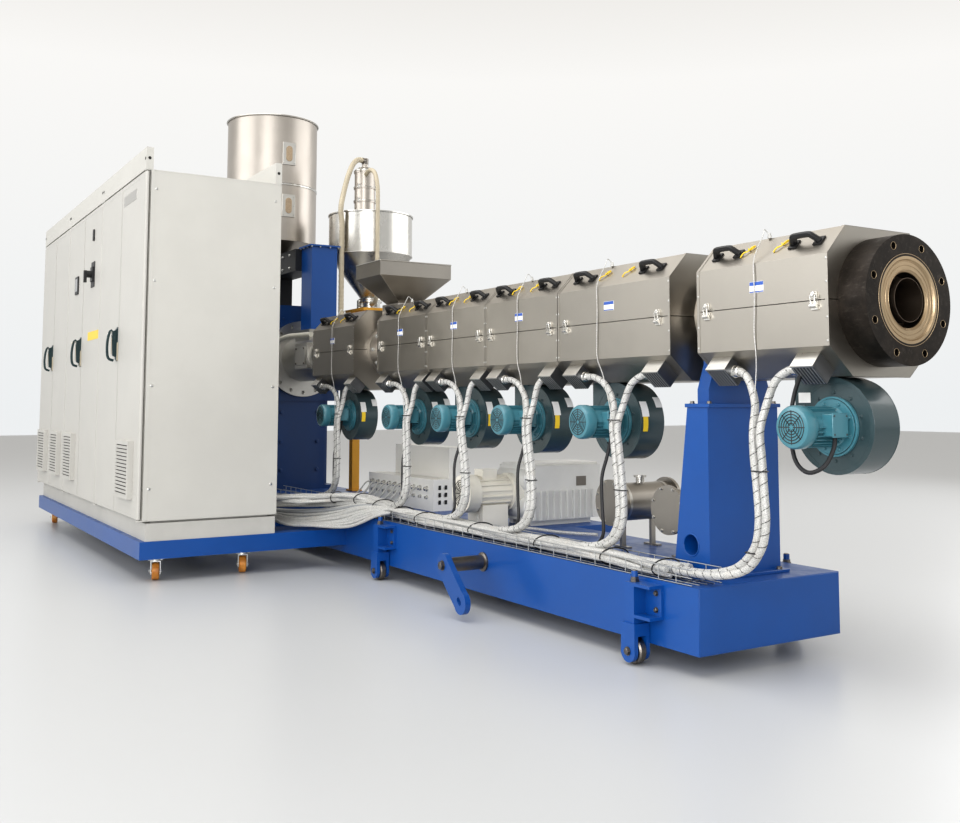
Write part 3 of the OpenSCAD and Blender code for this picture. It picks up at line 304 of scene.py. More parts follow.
MOULDING = moulded("black_moulding", (0.012, 0.012, 0.013), 0.42)
CABLE_BLACK = moulded("black_cable_sheath", (0.016, 0.016, 0.018), 0.5, 300)
CABLE_GREY = moulded("grey_cable_sheath", (0.30, 0.31, 0.32), 0.5, 300)
HOSE = moulded("beige_suction_hose", (0.50, 0.44, 0.33), 0.48, 200, 0.2)
PIPE = moulded("white_pipe", (0.70, 0.68, 0.60), 0.42, 200)
HANDLE = moulded("petrol_black_handle", (0.006, 0.028, 0.032), 0.34, 500)
RED = moulded("red_knob", (0.45, 0.012, 0.02), 0.35)


def blackened_flange():
    """Forged and blackened face: scale, rubbed turning rings and heat bloom."""
    f = Finish("blackened_die_flange", Metallic=0.85)
    scale = f.noise(16, 8, 0.7)
    cloud = f.noise(4.2, 5, 0.6)
    rub = f.noise(60, 4, 0.7, (0.4, 1, 1)).between(0.52, 0.72)
    base = f.blend(scale.between(0.35, 0.7), (0.026, 0.022, 0.019), (0.046, 0.038, 0.032))
    base = f.blend(cloud.between(0.55, 0.8) * 0.4, base, (0.09, 0.068, 0.048))
    f.set("Base Color", f.blend(rub * 0.12, base, (0.22, 0.19, 0.16)))
    f.set("Roughness", scale * 0.25 - rub * 0.12 + 0.34)
    return f.bump(scale, 0.16, 0.0008)


def woven_sleeve():
    """Silver-white braid over the heater leads."""
    f = Finish("woven_lead_sleeve", Sheen_Weight=0.15, Metallic=0.25)
    weave = f.cells(330)
    cloud = f.noise(14, 4, 0.6)
    base = f.blend(weave.between(0.1, 0.7), (0.74, 0.73, 0.70), (0.40, 0.40, 0.39))
    f.set("Base Color", f.blend(cloud.between(0.52, 0.8) * 0.3, base, (0.48, 0.42, 0.33)))
    f.set("Roughness", weave * 0.2 + 0.42)
    return f.bump(1 - weave, 0.5, 0.0012)


def amber_wheel():
    """Cast polyurethane tread, slightly clear at the surface."""
    f = Finish("amber_wheel", Subsurface_Weight=0.12)
    cloud = f.noise(30, 4, 0.6)
    f.set("Base Color", f.blend(cloud.between(0.3, 0.7), (0.36, 0.13, 0.02), (0.62, 0.27, 0.05)))
    f.set("Roughness", cloud * 0.2 + 0.22)
    return f.bump(f.noise(220, 2), 0.06, 0.0004)


def sight_glass():
    """Hopper window with granules behind it."""
    f = Finish("sight_window", Coat_Weight=0.8, Coat_Roughness=0.04)
    grain = f.cells(240)
    f.set("Base Color", f.blend(grain.between(0.1, 0.6), (0.52, 0.40, 0.26), (0.30, 0.22, 0.14)))
    f.set("Roughness", grain * 0.3 + 0.25)
    return f.bump(grain, 0.25, 0.001)


def dark_display():
    """Switched-off screen."""
    f = Finish("dark_display", Coat_Weight=1.0, Coat_Roughness=0.03)
    f.set("Base Color", f.blend(f.noise(40, 2).between(0.4, 0.6), (0.01, 0.012, 0.015), (0.02, 0.024, 0.03)))
    return f.set("Roughness", f.noise(80, 2) * 0.1 + 0.12)


FLANGE = blackened_flange()
SLEEVE = woven_sleeve()
AMBER = amber_wheel()
WINDOW = sight_glass()
DISPLAY = dark_display()
# painted shade: flat near-black standing in for the dark inside holes and louvre gaps
HOLE_SHADE = moulded("painted_hole_shade", (0.010, 0.009, 0.009), 0.6, 300)
FLOOR = Finish("pale_floor", Roughness=0.34, Base_Color=(0.50, 0.51, 0.52))

CAD_FINISHES = {
    BLUE: ["base_frame", "jack_brackets", "tow_lever", "front_pedestal", "pump_shelf", "dosing_column",
           "platform_frame"],
    # the gearbox takes the blue enamel darkened as painted shade
    SHADED_BLUE: ["gearbox"],
    SHAFT: ["jack_wheels", "lever_shaft"],
    BARREL: ["barrel"], FLANGE: ["die_flange"], BRONZE: ["centring_ring"],
    COVER: [f"heater_cover_{i}" for i in range(1, 7)],
    BOX_STEEL: ["terminal_boxes"],
    SCROLL: ["blower_housings"], TEAL: ["blower_motors"],
    SLEEVE: ["heater_conduits", "cable_bundle"], WIRE: ["cable_tray"],
    PUMP: ["vacuum_pump"], CREAM: ["pump_motor"], WHITE: ["junction_box"],
    FUNNEL: ["separator_tanks", "vent_hopper"], FEED: ["feed_section"], DRIVE: ["main_motor"],
    BLACK: ["dosing_feeder"], HOPPER: ["feed_hopper"], DULL_SHEET: ["main_hopper", "vacuum_loader"],
    YELLOW: ["feed_hopper_stand"],
    HOSE: ["suction_hose", "loader_pipe"], ZINC: ["caster_forks"], AMBER: ["caster_wheels"],
    CABINET: ["cabinet_shell", "cabinet_end_panels"], PLINTH: ["cabinet_plinth"],
    DOORS: [f"door_leaf_{i}" for i in range(1, 7)],
    HANDLE: [f"door_handle_{i}" for i in (1, 3, 5)], MOULDING: ["main_switch"],
}
for finish, names in CAD_FINISHES.items():
    for name in names:
        cad = nodes[name]
        if not cad.material_slots:
            cad.data.materials.append(finish.material)
        for slot in cad.material_slots:
            slot.material = finish.material

# the material slot that a piece of each finish belongs to, unless make() is told another; make() looks it up
# but keeps it nowhere
SLOTS = {
    "handle_black": [MOULDING, CABLE_BLACK, RED, HANDLE, DISPLAY], "dark_steel": [SHAFT, OILED_BORE, HOLE_SHADE],
    "cover_steel": [COVER, CHROME, BRIGHT, FUNNEL], "white_paint": [PANEL_WHITE, PIPE],
    "blue_paint": [BLUE, SHADED_BLUE, PANEL_BLUE], "white_sleeve": [SLEEVE, CABLE_GREY],
    "box_steel": [BOX_STEEL, BOX_RIB], "hose_rubber": [HOSE, WINDOW], "zinc": [ZINC], "bronze": [BRONZE],
    "motor_paint": [TEAL], "blower_paint": [SCROLL], "yellow_paint": [TAG_YELLOW], "tray_wire": [WIRE],
    "black_paint": [BLACK], "pump_grey": [PUMP], "cream_paint": [CREAM], "cabinet_grey": [CABINET],
    "door_grey": [DOORS],
}
slot_of = {finish: slot for slot, finishes in SLOTS.items() for finish in finishes}


# ---------------------------------------------------------------- shapes
def smooth_path(points, steps=5):
    """Points along a smooth curve through the given ones."""
    p = [Vector(q) for q in points]
    path = []
    for i in range(len(p) - 1):
        a, b, c, d = p[max(i - 1, 0)], p[i], p[i + 1], p[min(i + 2, len(p) - 1)]
        for t in (s / steps for s in range(steps)):
            path.append(0.5 * (2 * b + (c - a) * t + (2 * a - 5 * b + 4 * c - d) * t * t
                               + (3 * b - a - 3 * c + d) * t ** 3))
    return path + [p[-1]]


def square_axes(direction):
    """The direction and two more, all square to each other."""
    along = Vector(direction).normalized()
    side = along.cross(Vector(UP) if abs(along.z) < 0.9 else Vector(AHEAD)).normalized()
    return along, side, along.cross(side)


def angles(count, first=0.0):
    """Even angles of a full turn; first is the share of a step that they start at."""
    return [math.tau * (k + first) / count for k in range(count)]


def circle(centre, side, up, radius, sides):
    return [centre + (side * math.cos(a) + up * math.sin(a)) * radius for a in angles(sides)]


def round_x(x, radius, count, first=0.5):
    """Places round the barrel axis."""
    return [(x, radius * math.sin(a), AXIS + radius * math.cos(a)) for a in angles(count, first)]


def round_y(centre, radius, count, first=0.5):
    """Places round a line across the machine."""
    x, y, z = centre
    return [(x + radius * math.cos(a), y, z + radius * math.sin(a)) for a in angles(count, first)]


def grid(*axes):
    """Every place with its x, y and z among the given numbers."""
    return product(*(axis if isinstance(axis, (tuple, range)) else (axis,) for axis in axes))


def skin(rings, sides):
    """Faces between neighbouring rings of points, and over both ends."""
    faces = []
    for r, k in product(range(0, (rings - 1) * sides, sides), range(sides)):
        n = (k + 1) % sides
        faces.append((r + k, r + sides + k, r + sides + n, r + n))
    last = (rings - 1) * sides
    return faces + [tuple(range(sides)), tuple(last + k for k in reversed(range(sides)))]


def turned(degrees, axis):
    """A turn about one of the plan's axes."""
    return Matrix.Rotation(math.radians(degrees), 3, axis)


def about(pivot, degrees=0.0, axis="Y"):
    """Takes places that are measured from a pivot to the plan, turned about it."""
    turn = turned(degrees, axis)
    return lambda x, y, z: turn @ Vector((x, y, z)) + Vector(pivot)


class Shape:
    """Collects solids on the plan and makes one piece of them."""

    def __init__(self):
        self.points, self.faces = [], []

    def add(self, points, faces):
        start = len(self.points)
        self.points += [Vector(p) for p in points]
        self.faces += [[start + i for i in face] for face in faces]
        return self

    def block(self, low, high, place=None):
        """A box between two corners; place(x, y, z) may set it askew."""
        (x0, y0, z0), (x1, y1, z1) = low, high
        corners = [(x0, y0, z0), (x1, y0, z0), (x1, y1, z0), (x0, y1, z0),
                   (x0, y0, z1), (x1, y0, z1), (x1, y1, z1), (x0, y1, z1)]
        if place:
            corners = [place(*corner) for corner in corners]
        return self.add(corners, [(3, 2, 1, 0), (4, 5, 6, 7), (0, 1, 5, 4), (1, 2, 6, 5), (2, 3, 7, 6),
                                  (3, 0, 4, 7)])

    def lathe(self, start, along, profile, sides=32):
        """Turns (distance, radius) pairs round a line; the profile's ends are closed."""
        along, side, up = square_axes(along)
        points = []
        for distance, radius in profile:
            points += circle(Vector(start) + along * distance, side, up, radius, sides)
        return self.add(points, skin(len(profile), sides))

    def rod(self, start, end, radius, sides=16, chamfer=0.0):
        run = Vector(end) - Vector(start)
        profile = [(0, radius), (run.length, radius)]
        if chamfer:
            profile = [(0, radius - chamfer), (chamfer, radius), (run.length - chamfer, radius),
                       (run.length, radius - chamfer)]
        return self.lathe(start, run, profile, sides)

    def hoop(self, centre, along, inner, outer, thick, sides=40):
        """A flat ring."""
        along, side, up = square_axes(along)
        points = []
        for distance, radius in ((0, inner), (0, outer), (thick, outer), (thick, inner)):
            points += circle(Vector(centre) + along * distance, side, up, radius, sides)
        faces = [[corner % len(points) for corner in face] for face in skin(5, sides)[:-2]]
        return self.add(points, faces)

    def torus(self, centre, along, radius, wire, sides=32, round_sides=8):
        ring = circle(Vector(centre), *square_axes(along)[1:], radius, sides)
        return self.tube(ring + ring[:1], wire, round_sides)

    def tube(self, line, radius, sides=8, flat=1.0):
        """A round tube along a line of points; radius is a number or one for each point."""
        line = [Vector(p) for p in line]
        radii = radius if isinstance(radius, list) else [radius] * len(line)
        ahead = (line[1] - line[0]).normalized()
        side = square_axes(ahead)[1]
        points = []
        for i, p in enumerate(line):
            turn = line[min(i + 1, len(line) - 1)] - line[max(i - 1, 0)]
            ahead = turn.normalized() if turn.length > 1e-6 else ahead
            side = (side - ahead * side.dot(ahead)).normalized()
            points += circle(p, side, ahead.cross(side) * flat, radii[i], sides)
        return self.add(points, [face[:1] + face[:0:-1] for face in skin(len(line), sides)])

    def plate(self, outline, along, thick):
        """A flat outline given as points, thickened along a direction."""
        shift = Vector(along).normalized() * thick
        base = [Vector(p) for p in outline]
        n = len(base)
        faces = [tuple(reversed(range(n))), tuple(range(n, 2 * n))]
        faces += [(k, (k + 1) % n, n + (k + 1) % n, n + k) for k in range(n)]
        return self.add(base + [p + shift for p in base], faces)

    def bolts(self, places, along, size, high):
        """Hexagon heads with washers."""
        along = Vector(along).normalized()
        for place in places:
            self.lathe(place, along, [(0, size * 1.25), (2, size * 1.25)], 16)
            self.lathe(Vector(place) + along * 2, along,
                       [(0, size), (high - 1.5, size), (high, size * 0.82)], 6)

    def screws(self, places, along, size, high):
        """Round heads."""
        for place in places:
            self.lathe(place, along, [(0, size), (high * 0.5, size * 0.96), (high, size * 0.6)], 12)

    def make(self, name, finish, body="machine", bevel=0.0, angle=35, of=None):
        mesh = bpy.data.meshes.new(name)
        mesh.from_pydata([at(*p) for p in self.points], [], self.faces)
        mesh.validate()
        mesh.materials.append(finish.material)
        piece = linked(name, mesh)
        tidy_normals(mesh)
        mesh.shade_smooth()
        mesh.set_sharp_from_angle(angle=math.radians(angle))
        if bevel:
            soften(piece, bevel)
        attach(piece, body)
        of or slot_of[finish]
        return piece


def shapes(count):
    """So many empty shapes."""
    return [Shape() for _ in range(count)]


def tidy_normals(mesh):
    """Turns every face outwards."""
    work = bmesh.new()
    work.from_mesh(mesh)
    bmesh.ops.recalc_face_normals(work, faces=work.faces)
    work.to_mesh(mesh)
    work.free()


def soften(piece, width):
    """Rounds a piece's sharp edges, in millimetres."""
    round_edges = piece.modifiers.new("soft_edges", "BEVEL")
    round_edges.width = width / 1000
    round_edges.segments = 2
    round_edges.limit_method = "ANGLE"
    round_edges.angle_limit = math.radians(40)


def obround(x, y, z, half_wide, half_high, steps=8):
    """Outline with round ends, upright in a plane across the machine."""
    ends = [(math.pi * k / steps, half_high - half_wide) for k in range(steps + 1)]
    ends += [(math.pi + math.pi * k / steps, half_wide - half_high) for k in range(steps + 1)]
    return [(x, y + half_wide * math.cos(a), z + rise + half_wide * math.sin(a)) for a, rise in ends]


# ---------------------------------------------------------------- heater covers
BEVEL_OUT = Vector((0, -0.7356, 0.6774))
BEVEL_UP = Vector((0, 0.6774, 0.7356))
BEVEL_MID = Vector((0, -218.5, AXIS + 207.5))
LOW_OUT = Vector((0, -0.66, -0.7514))
LOW_UP = Vector((0, -0.7514, 0.66))
LOW_MID = Vector((0, -207.5, AXIS - 207.5))
GRIP_BAR = ((-60, 3), (-54, 12), (-40, 33), (-28, 39), (28, 39), (40, 33), (54, 12), (60, 3))
LATCH_HOOK = ((-9, 12, -18), (-9, 15, 14), (-5, 15, 22), (5, 15, 22), (9, 15, 14), (9, 12, -18))
EARTH_CURL = ((-26, -22, 2), (-14, -8, 9), (0, 4, 6), (16, 16, 12), (20, 30, 5), (6, 12, 4), (-10, 20, 5))
COVER_CORNERS = [(-265.6, -157), (-265.6, 157), (-172.4, 258.6), (172.4, 258.6), (265.6, 157),
                 (265.6, -157), (150.3, -258.6), (-150.3, -258.6)]
RIM_WIDE, SHEET = 14, 0.9
SENSOR_SHIFTS = (5, 21, 15, 15, 87, 16)
SENSOR_LINE = [(-6, -176, 268), (-12, -196, 290), (4, -222, 262), (-2, -254, 196), (0, -269, 152),
               (3, -270, 40), (-2, -270, -90), (2, -268, -160)]
SENSOR_DROP = ((0.3, -270, -230), (0.7, -288, -330), (1, -303, -420), (1, -298, -520))
PAIR_SHIFT = 18
LEAD_DRIFTS = (8, 14, 62, 46, 44, 24)


def on_bevel(x, up, out, flip=1):
    """A place on a cover's upper bevel, on the door side or, flipped, on the far side."""
    spot = BEVEL_MID + BEVEL_UP * up + BEVEL_OUT * out
    return Vector((x, spot.y * flip, spot.z))


def cover_fittings():
    """Grips, latches and the folded rims where the end sheets are spot-welded on."""
    grips, latches, hooks, rims = shapes(4)
    for start, length in ZONES:
        for flip in (1, -1):
            out = Vector((0, BEVEL_OUT.y * flip, BEVEL_OUT.z))

            def bevel(x, up, rise):
                return on_bevel(x, up, rise, flip)

            def off(distance):
                return -flip * (COVER_SIDE + distance)

            for x in (start + length * 0.2, start + length * 0.8):
                grips.tube(smooth_path([bevel(x + dx, 0, rise) for dx, rise in GRIP_BAR], 2), 14, 8, 0.8)
                for foot in (x - 56, x + 56):
                    grips.block((foot - 18, -20, 0), (foot + 18, 20, 7), bevel)
                    grips.bolts([bevel(foot, 0, 7)], out, 6, 4)
            for x in (start + length * 0.09, start + length * 0.91):
                latches.block((x - 15, off(0), AXIS - 34), (x + 15, off(7), AXIS - 4))
                latches.block((x - 11, off(0), AXIS + 6), (x + 11, off(6), AXIS + 30))
                hooks.rod((x - 15, off(10), AXIS - 20), (x + 15, off(10), AXIS - 20), 7, 12)
                hooks.tube([(x + dx, off(rise), AXIS + dz) for dx, rise, dz in LATCH_HOOK], 2.6, 6)
                hooks.lathe((x, off(4), AXIS + 20), (0, -flip, 0), [(0, 9), (10, 9), (13, 6)], 14)
        for x0 in (start, start + length - RIM_WIDE):
            for (ya, za), (yb, zb) in zip(COVER_CORNERS, COVER_CORNERS[1:] + COVER_CORNERS[:1]):
                x1, za, zb = x0 + RIM_WIDE, AXIS + za, AXIS + zb
                rims.plate([(x0, ya, za), (x1, ya, za), (x1, yb, zb), (x0, yb, zb)],
                           (0, za - zb, yb - ya), SHEET)
    grips.make("cover_grips", MOULDING, bevel=1.2)
    latches.make("seam_latches", BRIGHT, bevel=1.0)
    hooks.make("latch_hooks", CHROME)
    rims.make("cover_rims", COVER)


def cover_plates():
    """Blank labels, screws, short earth leads and the thin sensor lead of each cover."""
    plates, bands, leads, screws, earths = shapes(5)
    for (start, length), hang, shift in zip(ZONES, LEADS, SENSOR_SHIFTS):
        mid = start + length / 2
        left, right = mid - 40, mid + 28
        plates.block((left, -266.6, AXIS + 50), (right, -COVER_SIDE, AXIS + 90))
        for low, high in ((76, 89), (51, 55)):
            bands.block((left + 1, -267.2, AXIS + low), (right - 1, -266.4, AXIS + high))
        for x in (mid - 88, mid + 76):
            earths.tube(smooth_path([on_bevel(x + dx, up, out) for dx, up, out in EARTH_CURL], 4), 2.6, 6)
        edges, rises = (start + 7, start + length - 7), (AXIS - 140, AXIS - 60, AXIS + 60, AXIS + 140)
        screws.screws(grid(edges, -266, rises), NEAR, 4.5, 2)
        screws.screws(grid(edges, 266, rises), FAR, 4.5, 2)
        screws.screws(grid(mid, (-120, -40, 40, 120), AXIS + 258), UP, 4.5, 2)
        mid -= shift
        pair = hang + PAIR_SHIFT
        line = SENSOR_LINE + [((pair - mid) * share, y, z) for share, y, z in SENSOR_DROP]
        leads.tube(smooth_path([(mid + dx, y, AXIS + dz) for dx, y, dz in line], 6), 2.1, 6)
        leads.lathe((mid - 6, -176, AXIS + 258), UP, [(0, 8), (10, 8), (12, 5), (20, 5)], 12)
    plates.make("blank_labels", PANEL_WHITE)
    bands.make("blank_label_bands", PANEL_BLUE)
    leads.make("sensor_leads", SLEEVE)
    earths.make("earth_leads", TAG_YELLOW)
    screws.make("cover_screws", ZINC)


def terminal_trim():
    """Bright lids, ribs, end plates and glands of the terminal boxes."""
    lids, ends, ribs, glands = shapes(4)
    for inset, (start, length) in zip(INSETS, ZONES):
        for x, way in ((start + inset, 1), (start + length - inset - 100, -1)):

            def spot(dx, up, out):
                return Vector((x + dx, 0, 0)) + LOW_MID + LOW_UP * up + LOW_OUT * out

            lids.block((-1, 46, 0), (101, 48, 63), spot)
            lids.block((-1, 40, 62), (101, 47, 63.5), spot)
            for k in range(7):
                ribs.block((5.4 + k * 14.3, -43, 62), (8.6 + k * 14.3, 38, 63.6), spot)
            for face, outer in ((0, -1.2), (100, 101.2)):
                ends.block((face, -40, 5), (outer, 41, 57), spot)
            glands.lathe(spot(101.2 if way > 0 else -1.2, 4, 36), (way, 0, 0),
                         [(0, 24), (7, 24), (9, 21), (26, 21), (30, 18)], 12)
            lids.screws([spot(12, 48, 50), spot(88, 48, 50)], LOW_UP, 4, 2)
    lids.make("terminal_lids", BRIGHT, of="box_steel", bevel=0.5)
    ribs.make("terminal_ribs", BOX_RIB)
    ends.make("terminal_ends", BOX_STEEL)
    glands.make("terminal_glands", CHROME)


LEAD_RADIUS = 14.6
THREAD_PITCH = 44
TIE_LOOP = ((-34, -290), (-27, -304), (0, -306), (27, -304), (34, -290), (27, -275), (0, -273), (-27, -275),
            (-34, -290))


def tracer(path, turn):
    """A thread wound round a sleeve that follows the path."""
    helix, side = [], Vector(UP)
    for before, after in zip(path, path[1:]):
        run = after - before
        ahead = run.normalized()
        steps = max(1, int(run.length / 5))
        for q in range(steps):
            side = (side - ahead * side.dot(ahead)).normalized()
            out = side * math.cos(turn) + ahead.cross(side) * math.sin(turn)
            helix.append(before + run * (q / steps) + out * (LEAD_RADIUS + 0.1))
            turn += math.tau * (run.length / steps) / THREAD_PITCH
    return helix


def heater_leads():
    """Sleeved leads: from each terminal box round to the middle, down in tied pairs and into the tray."""
    sleeves, ties, threads = shapes(3)
    rng = random.Random(4)
    low = LOW_MID + LOW_UP * 4 + LOW_OUT * 36
    for (start, length), lead, inset, drift in zip(ZONES, LEADS, INSETS, LEAD_DRIFTS):
        last_zone = start + length > FRONT_X
        middle = lead + PAIR_SHIFT
        for end, way in ((0, 1), (1, -1)):
            x0 = start + inset + 106 if way > 0 else start + length - inset - 106
            hang = middle - way * 17
            wide = abs(hang - x0)
            sag = rng.uniform(-5, 5)
            line = [(x0, low.y, low.z), (x0 + way * wide * 0.3, low.y - 5, low.z - 4),
                    (hang - way * wide * 0.34, low.y - 18, low.z - 40),
                    (hang - way * wide * 0.08, low.y - 28, low.z - 122),
                    (hang + 2, -288, low.z - 215), (hang + drift * 0.3 + sag, -290, 810),
                    (hang + drift * 0.75, -290, 690), (hang + drift, -291, 580)]
            drop = ((-6, -294, 500), (-56, -296, 432), (-140, -300, 398), (-240, -302 - 10 * end, 384))
            if last_zone:
                drop = ((-22, -292, 490), (-96, -294, 416 - 8 * end), (-205, -297 - 22 * end, 378 - 4 * end))
            line += [(hang + drift + dx, y, z) for dx, y, z in drop]
            if last_zone:
                line += [(6640, -282 - 34 * end, 362), (6480, -280 - 36 * end, 362)]
            path = smooth_path(line, 6)
            sleeves.tube(path, LEAD_RADIUS, 14)
            threads.tube(tracer(path, rng.uniform(0, 6)), 1.7, 4)
        knots = ((760, drift * 0.6), (470, drift * 0.6 - 36)) if last_zone else ((930, 0), (640, drift * 0.9))
        for z, shift in knots:
            ties.tube([(middle + shift + dx, y, z) for dx, y in TIE_LOOP], 2.6, 6)
    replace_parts(sleeves.make("heater_lead_sleeves", SLEEVE), "heater_conduits")
    threads.make("lead_tracer_threads", MOULDING)
    ties.make("lead_ties", MOULDING)


# ---------------------------------------------------------------- blowers
MOTOR_PROFILE = [(0, 64), (8, 70), (14, 60), (34, 60), (150, 58), (152, 71), (158, 73.5), (192, 73.5),
                 (201, 69), (204, 58)]
BLOWER_CABLE = [(76, -240, -30), (76, -244, -70), (70, -262, -150), (62, -284, -240), (76, -294, -360),
                (90, -300, -470), (40, -302, -528)]
END_BLOWER_CABLE = [(76, -240, -30), (78, -250, -72), (64, -280, -128), (12, -296, -152), (-48, -286, -126),
                    (-88, -266, -66), (-104, -252, 24), (-92, -244, 112), (-60, -244, 184)]


def blowers():
    """Motors, scroll rims, cables and blank cards under the six zones."""
    bodies, fins, grilles, boxes, cables, rims, cards, tags, rings = shapes(9)
    for x in FANS:
        last_zone = x > FRONT_X
        here = about((x, 0, FAN_Z))
        bodies.lathe((x, -160, FAN_Z), NEAR, MOTOR_PROFILE, 40)
        for k in range(28):
            if k not in (3, 4, 5, 6):  # the terminal box is there
                fins.block((-1.8, -306, 55), (1.8, -178, 70), about((x, 0, FAN_Z), 360 * k / 28))
        for radius in (14, 24, 34, 44, 54):
            grilles.torus((x, -364.4, FAN_Z), NEAR, radius, 1.6, 32, 5)
        for k in range(8):
            grilles.block((-1.4, -365, 8), (1.4, -363, 57), about((x, 0, FAN_Z), 45 * k))
        boxes.block((52, -274, -30), (98, -206, 44), here)
        boxes.block((96, -278, -34), (101, -202, 48), here)
        rims.screws(grid(x + 101, (-270, -210), (FAN_Z - 24, FAN_Z + 38)), AHEAD, 4, 2.5)
        cable = END_BLOWER_CABLE if last_zone else BLOWER_CABLE
        cables.tube(smooth_path([here(*spot) for spot in cable], 6), 7.5, 10)
        for y in (-149.2, -22):
            rims.hoop((x, y, FAN_Z), FAR, 150, 165.8, 3, 56)
        rims.bolts(round_y((x, -148, FAN_Z), 118, 10), NEAR, 5, 4)
        wrap = ((-140, -102, 8, 32, cards), (-136, -110, -14, 8, tags), (-54, -18, 22, 40, cards))
        if last_zone:
            wrap = ()
            cards.block((-158, -149.8, 82), (-104, -148.6, 118), here)
        for y0, y1, low, high, kind in wrap:
            half = 166.4 * math.radians(high - low) / 8 + 0.1
            for k in range(4):
                kind.block((165.2, y0, -half), (166.4, y1, half),
                           about((x, 0, FAN_Z), -low - (high - low) * (k + 0.5) / 4))
        rings.hoop((x, -160.4, FAN_Z), NEAR, 66, 95, 4, 48)
        rings.hoop((x, -149, FAN_Z), NEAR, 96.4, 104, 12, 48)
        rings.bolts(round_y((x, -164, FAN_Z), 82, 8), NEAR, 6, 5)
        rims.block((-174, -146, 150), (-58, -12, 163), here)
    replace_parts(bodies.make("blower_motor_bodies", TEAL, angle=30), "blower_motors")
    fins.make("blower_motor_fins", TEAL, bevel=0.6)
    grilles.make("fan_cowl_grilles", MOULDING)
    boxes.make("blower_terminal_boxes", TEAL, bevel=3)
    cables.make("blower_cables", CABLE_BLACK)
    rims.make("scroll_rims", SCROLL, bevel=0.8)
    cards.make("blank_blower_cards", PANEL_WHITE)
    tags.make("blank_blower_tags", TAG_YELLOW)
    rings.make("blower_inlet_rings", TEAL, bevel=1)


# ---------------------------------------------------------------- die end
def die_end():
    """The inner sleeve, the two screw tips behind it, turned rings and joint bolts."""
    sleeve, tips, rings, heads = shapes(4)
    sleeve.hoop((FACE_X - 71, 0, AXIS), AHEAD, 76.2, 95.5, 3, 64)
    for y in (-31, 31):
        tips.lathe((FACE_X - 330, y, AXIS), AHEAD,
                   [(0, 30), (160, 30), (164, 26), (190, 25), (232, 8), (236, 4)], 32)
    for back, radius, wire in ((4.6, 104, 1.0), (4.6, 119, 1.0), (4.6, 133, 1.0), (0.6, 158, 1.5)):
        rings.torus((FACE_X - back, 0, AXIS), AHEAD, radius, wire, 72, 6)
    for place in round_x(FACE_X - 0.5, 195, 8):
        rings.torus(place, AHEAD, 13.2, 0.9, 24, 6)
    for x, way in ((6537, BACK), (6613, AHEAD)):
        heads.bolts(round_x(x, 150, 12, 0), way, 11, 16)
    sleeve.hoop((FACE_X - 322, 0, AXIS), AHEAD, 74.6, 75.8, 320, 64)
    sleeve.make("outlet_step", OILED_BORE)
    tips.make("screw_tips", SHAFT)
    rings.make("turned_rings", BRONZE)
    heads.make("saddle_joint_bolts", ZINC)


# ---------------------------------------------------------------- base, pedestal, jacks
JACKS = (6447, 4175, 480)
LEVER_X, LEVER_Z = 5245, 232


def base_details():
    """Pedestal plates, jack screws and the lever's hub."""
    bolts, jacks, plates, hub = shapes(4)
    bolts.bolts(grid((SADDLE_X - 172, SADDLE_X + 70), (-165, 165), DECK + 12), UP, 11, 9)
    plates.block((SADDLE_X - 190, -205, DECK), (SADDLE_X + 88, 205, DECK + 12))
    plates.block((SADDLE_X - 74, -199, 984), (SADDLE_X + 62, 199, 999))
    bolts.bolts(grid((SADDLE_X - 52, SADDLE_X + 44), (-178, 178), 999), UP, 9, 8)
    plates.hoop((SADDLE_X - 54, -192, DECK + 118), NEAR, 40.5, 46, 3, 40)
    # front rim of the base with its welded end plate
    plates.block((FRONT_X - 2, -BASE_SIDE + 2, 84), (FRONT_X + 1.5, BASE_SIDE - 2, DECK - 2))
    for out, x in product((-1, 1), JACKS):
        y = out * (BASE_SIDE + 41)
        jacks.lathe((x, y, 311), UP, [(0, 19), (10, 19), (11, 16), (20, 16)], 6)
        jacks.rod((x, y, 331), (x, y, 356), 11, chamfer=1.5)
        jacks.bolts(grid(x + 92, out * (BASE_SIDE + 12), (215, 277)), (0, out, 0), 9, 7)
        jacks.bolts([(x, y - out * 39, 52)], (0, -out, 0), 11, 5)
        jacks.bolts([(x, y + out * 39, 52)], (0, out, 0), 14, 8)
    plates.make("pedestal_plates", BLUE, bevel=2)
    bolts.make("base_bolts", SHAFT)
    jacks.make("jack_hardware", SHAFT)
    hub.bolts([(LEVER_X, -BASE_SIDE - 228, LEVER_Z)], NEAR, 20, 14)
    hub.lathe((LEVER_X, -BASE_SIDE, LEVER_Z), NEAR, [(0, 46), (8, 46), (10, 43), (14, 35)], 36)
    hub.make("lever_hub", SHAFT)


TRAY_NEAR, TRAY_FAR = -372, -222
TRAY_START, TRAY_END = 2083, 6718


def cable_tray():
    """Wire basket: nine long wires and a hoop every 100 mm."""
    wires = Shape()
    for y, rise in [(TRAY_NEAR + dy, 3) for dy in (0, 37, 75, 113, 150)] + [
            (y, rise) for y in (TRAY_NEAR, TRAY_FAR) for rise in (30, 59)]:
        wires.rod((TRAY_START, y, DECK + rise), (TRAY_END, y, DECK + rise), 2.2, 6)
    near, far = TRAY_NEAR - 1, TRAY_FAR + 1
    hoop = ((near, 61), (near, 8), (near + 9, 2.4), (far - 9, 2.4), (far, 8), (far, 61))
    for x in range(TRAY_START + 50, TRAY_END, 100):
        wires.tube([(x, y, DECK + rise) for y, rise in hoop], 2.2, 6)
    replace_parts(wires.make("wire_basket_tray", WIRE), "cable_tray")


BUNDLE = [(3240, -925, 400), (3300, -840, 400), (3360, -720, 400), (3440, -600, 406), (3560, -480, 416),
          (3700, -385, 420), (3860, -325, 408), (4040, -300, 384), (4250, -297, 366), (4500, -297, 362),
          (5000, -297, 362), (5500, -297, 362), (6000, -297, 362), (6300, -297, 360), (6560, -297, 356)]


def held(value, low, high):
    return max(low, min(high, value))


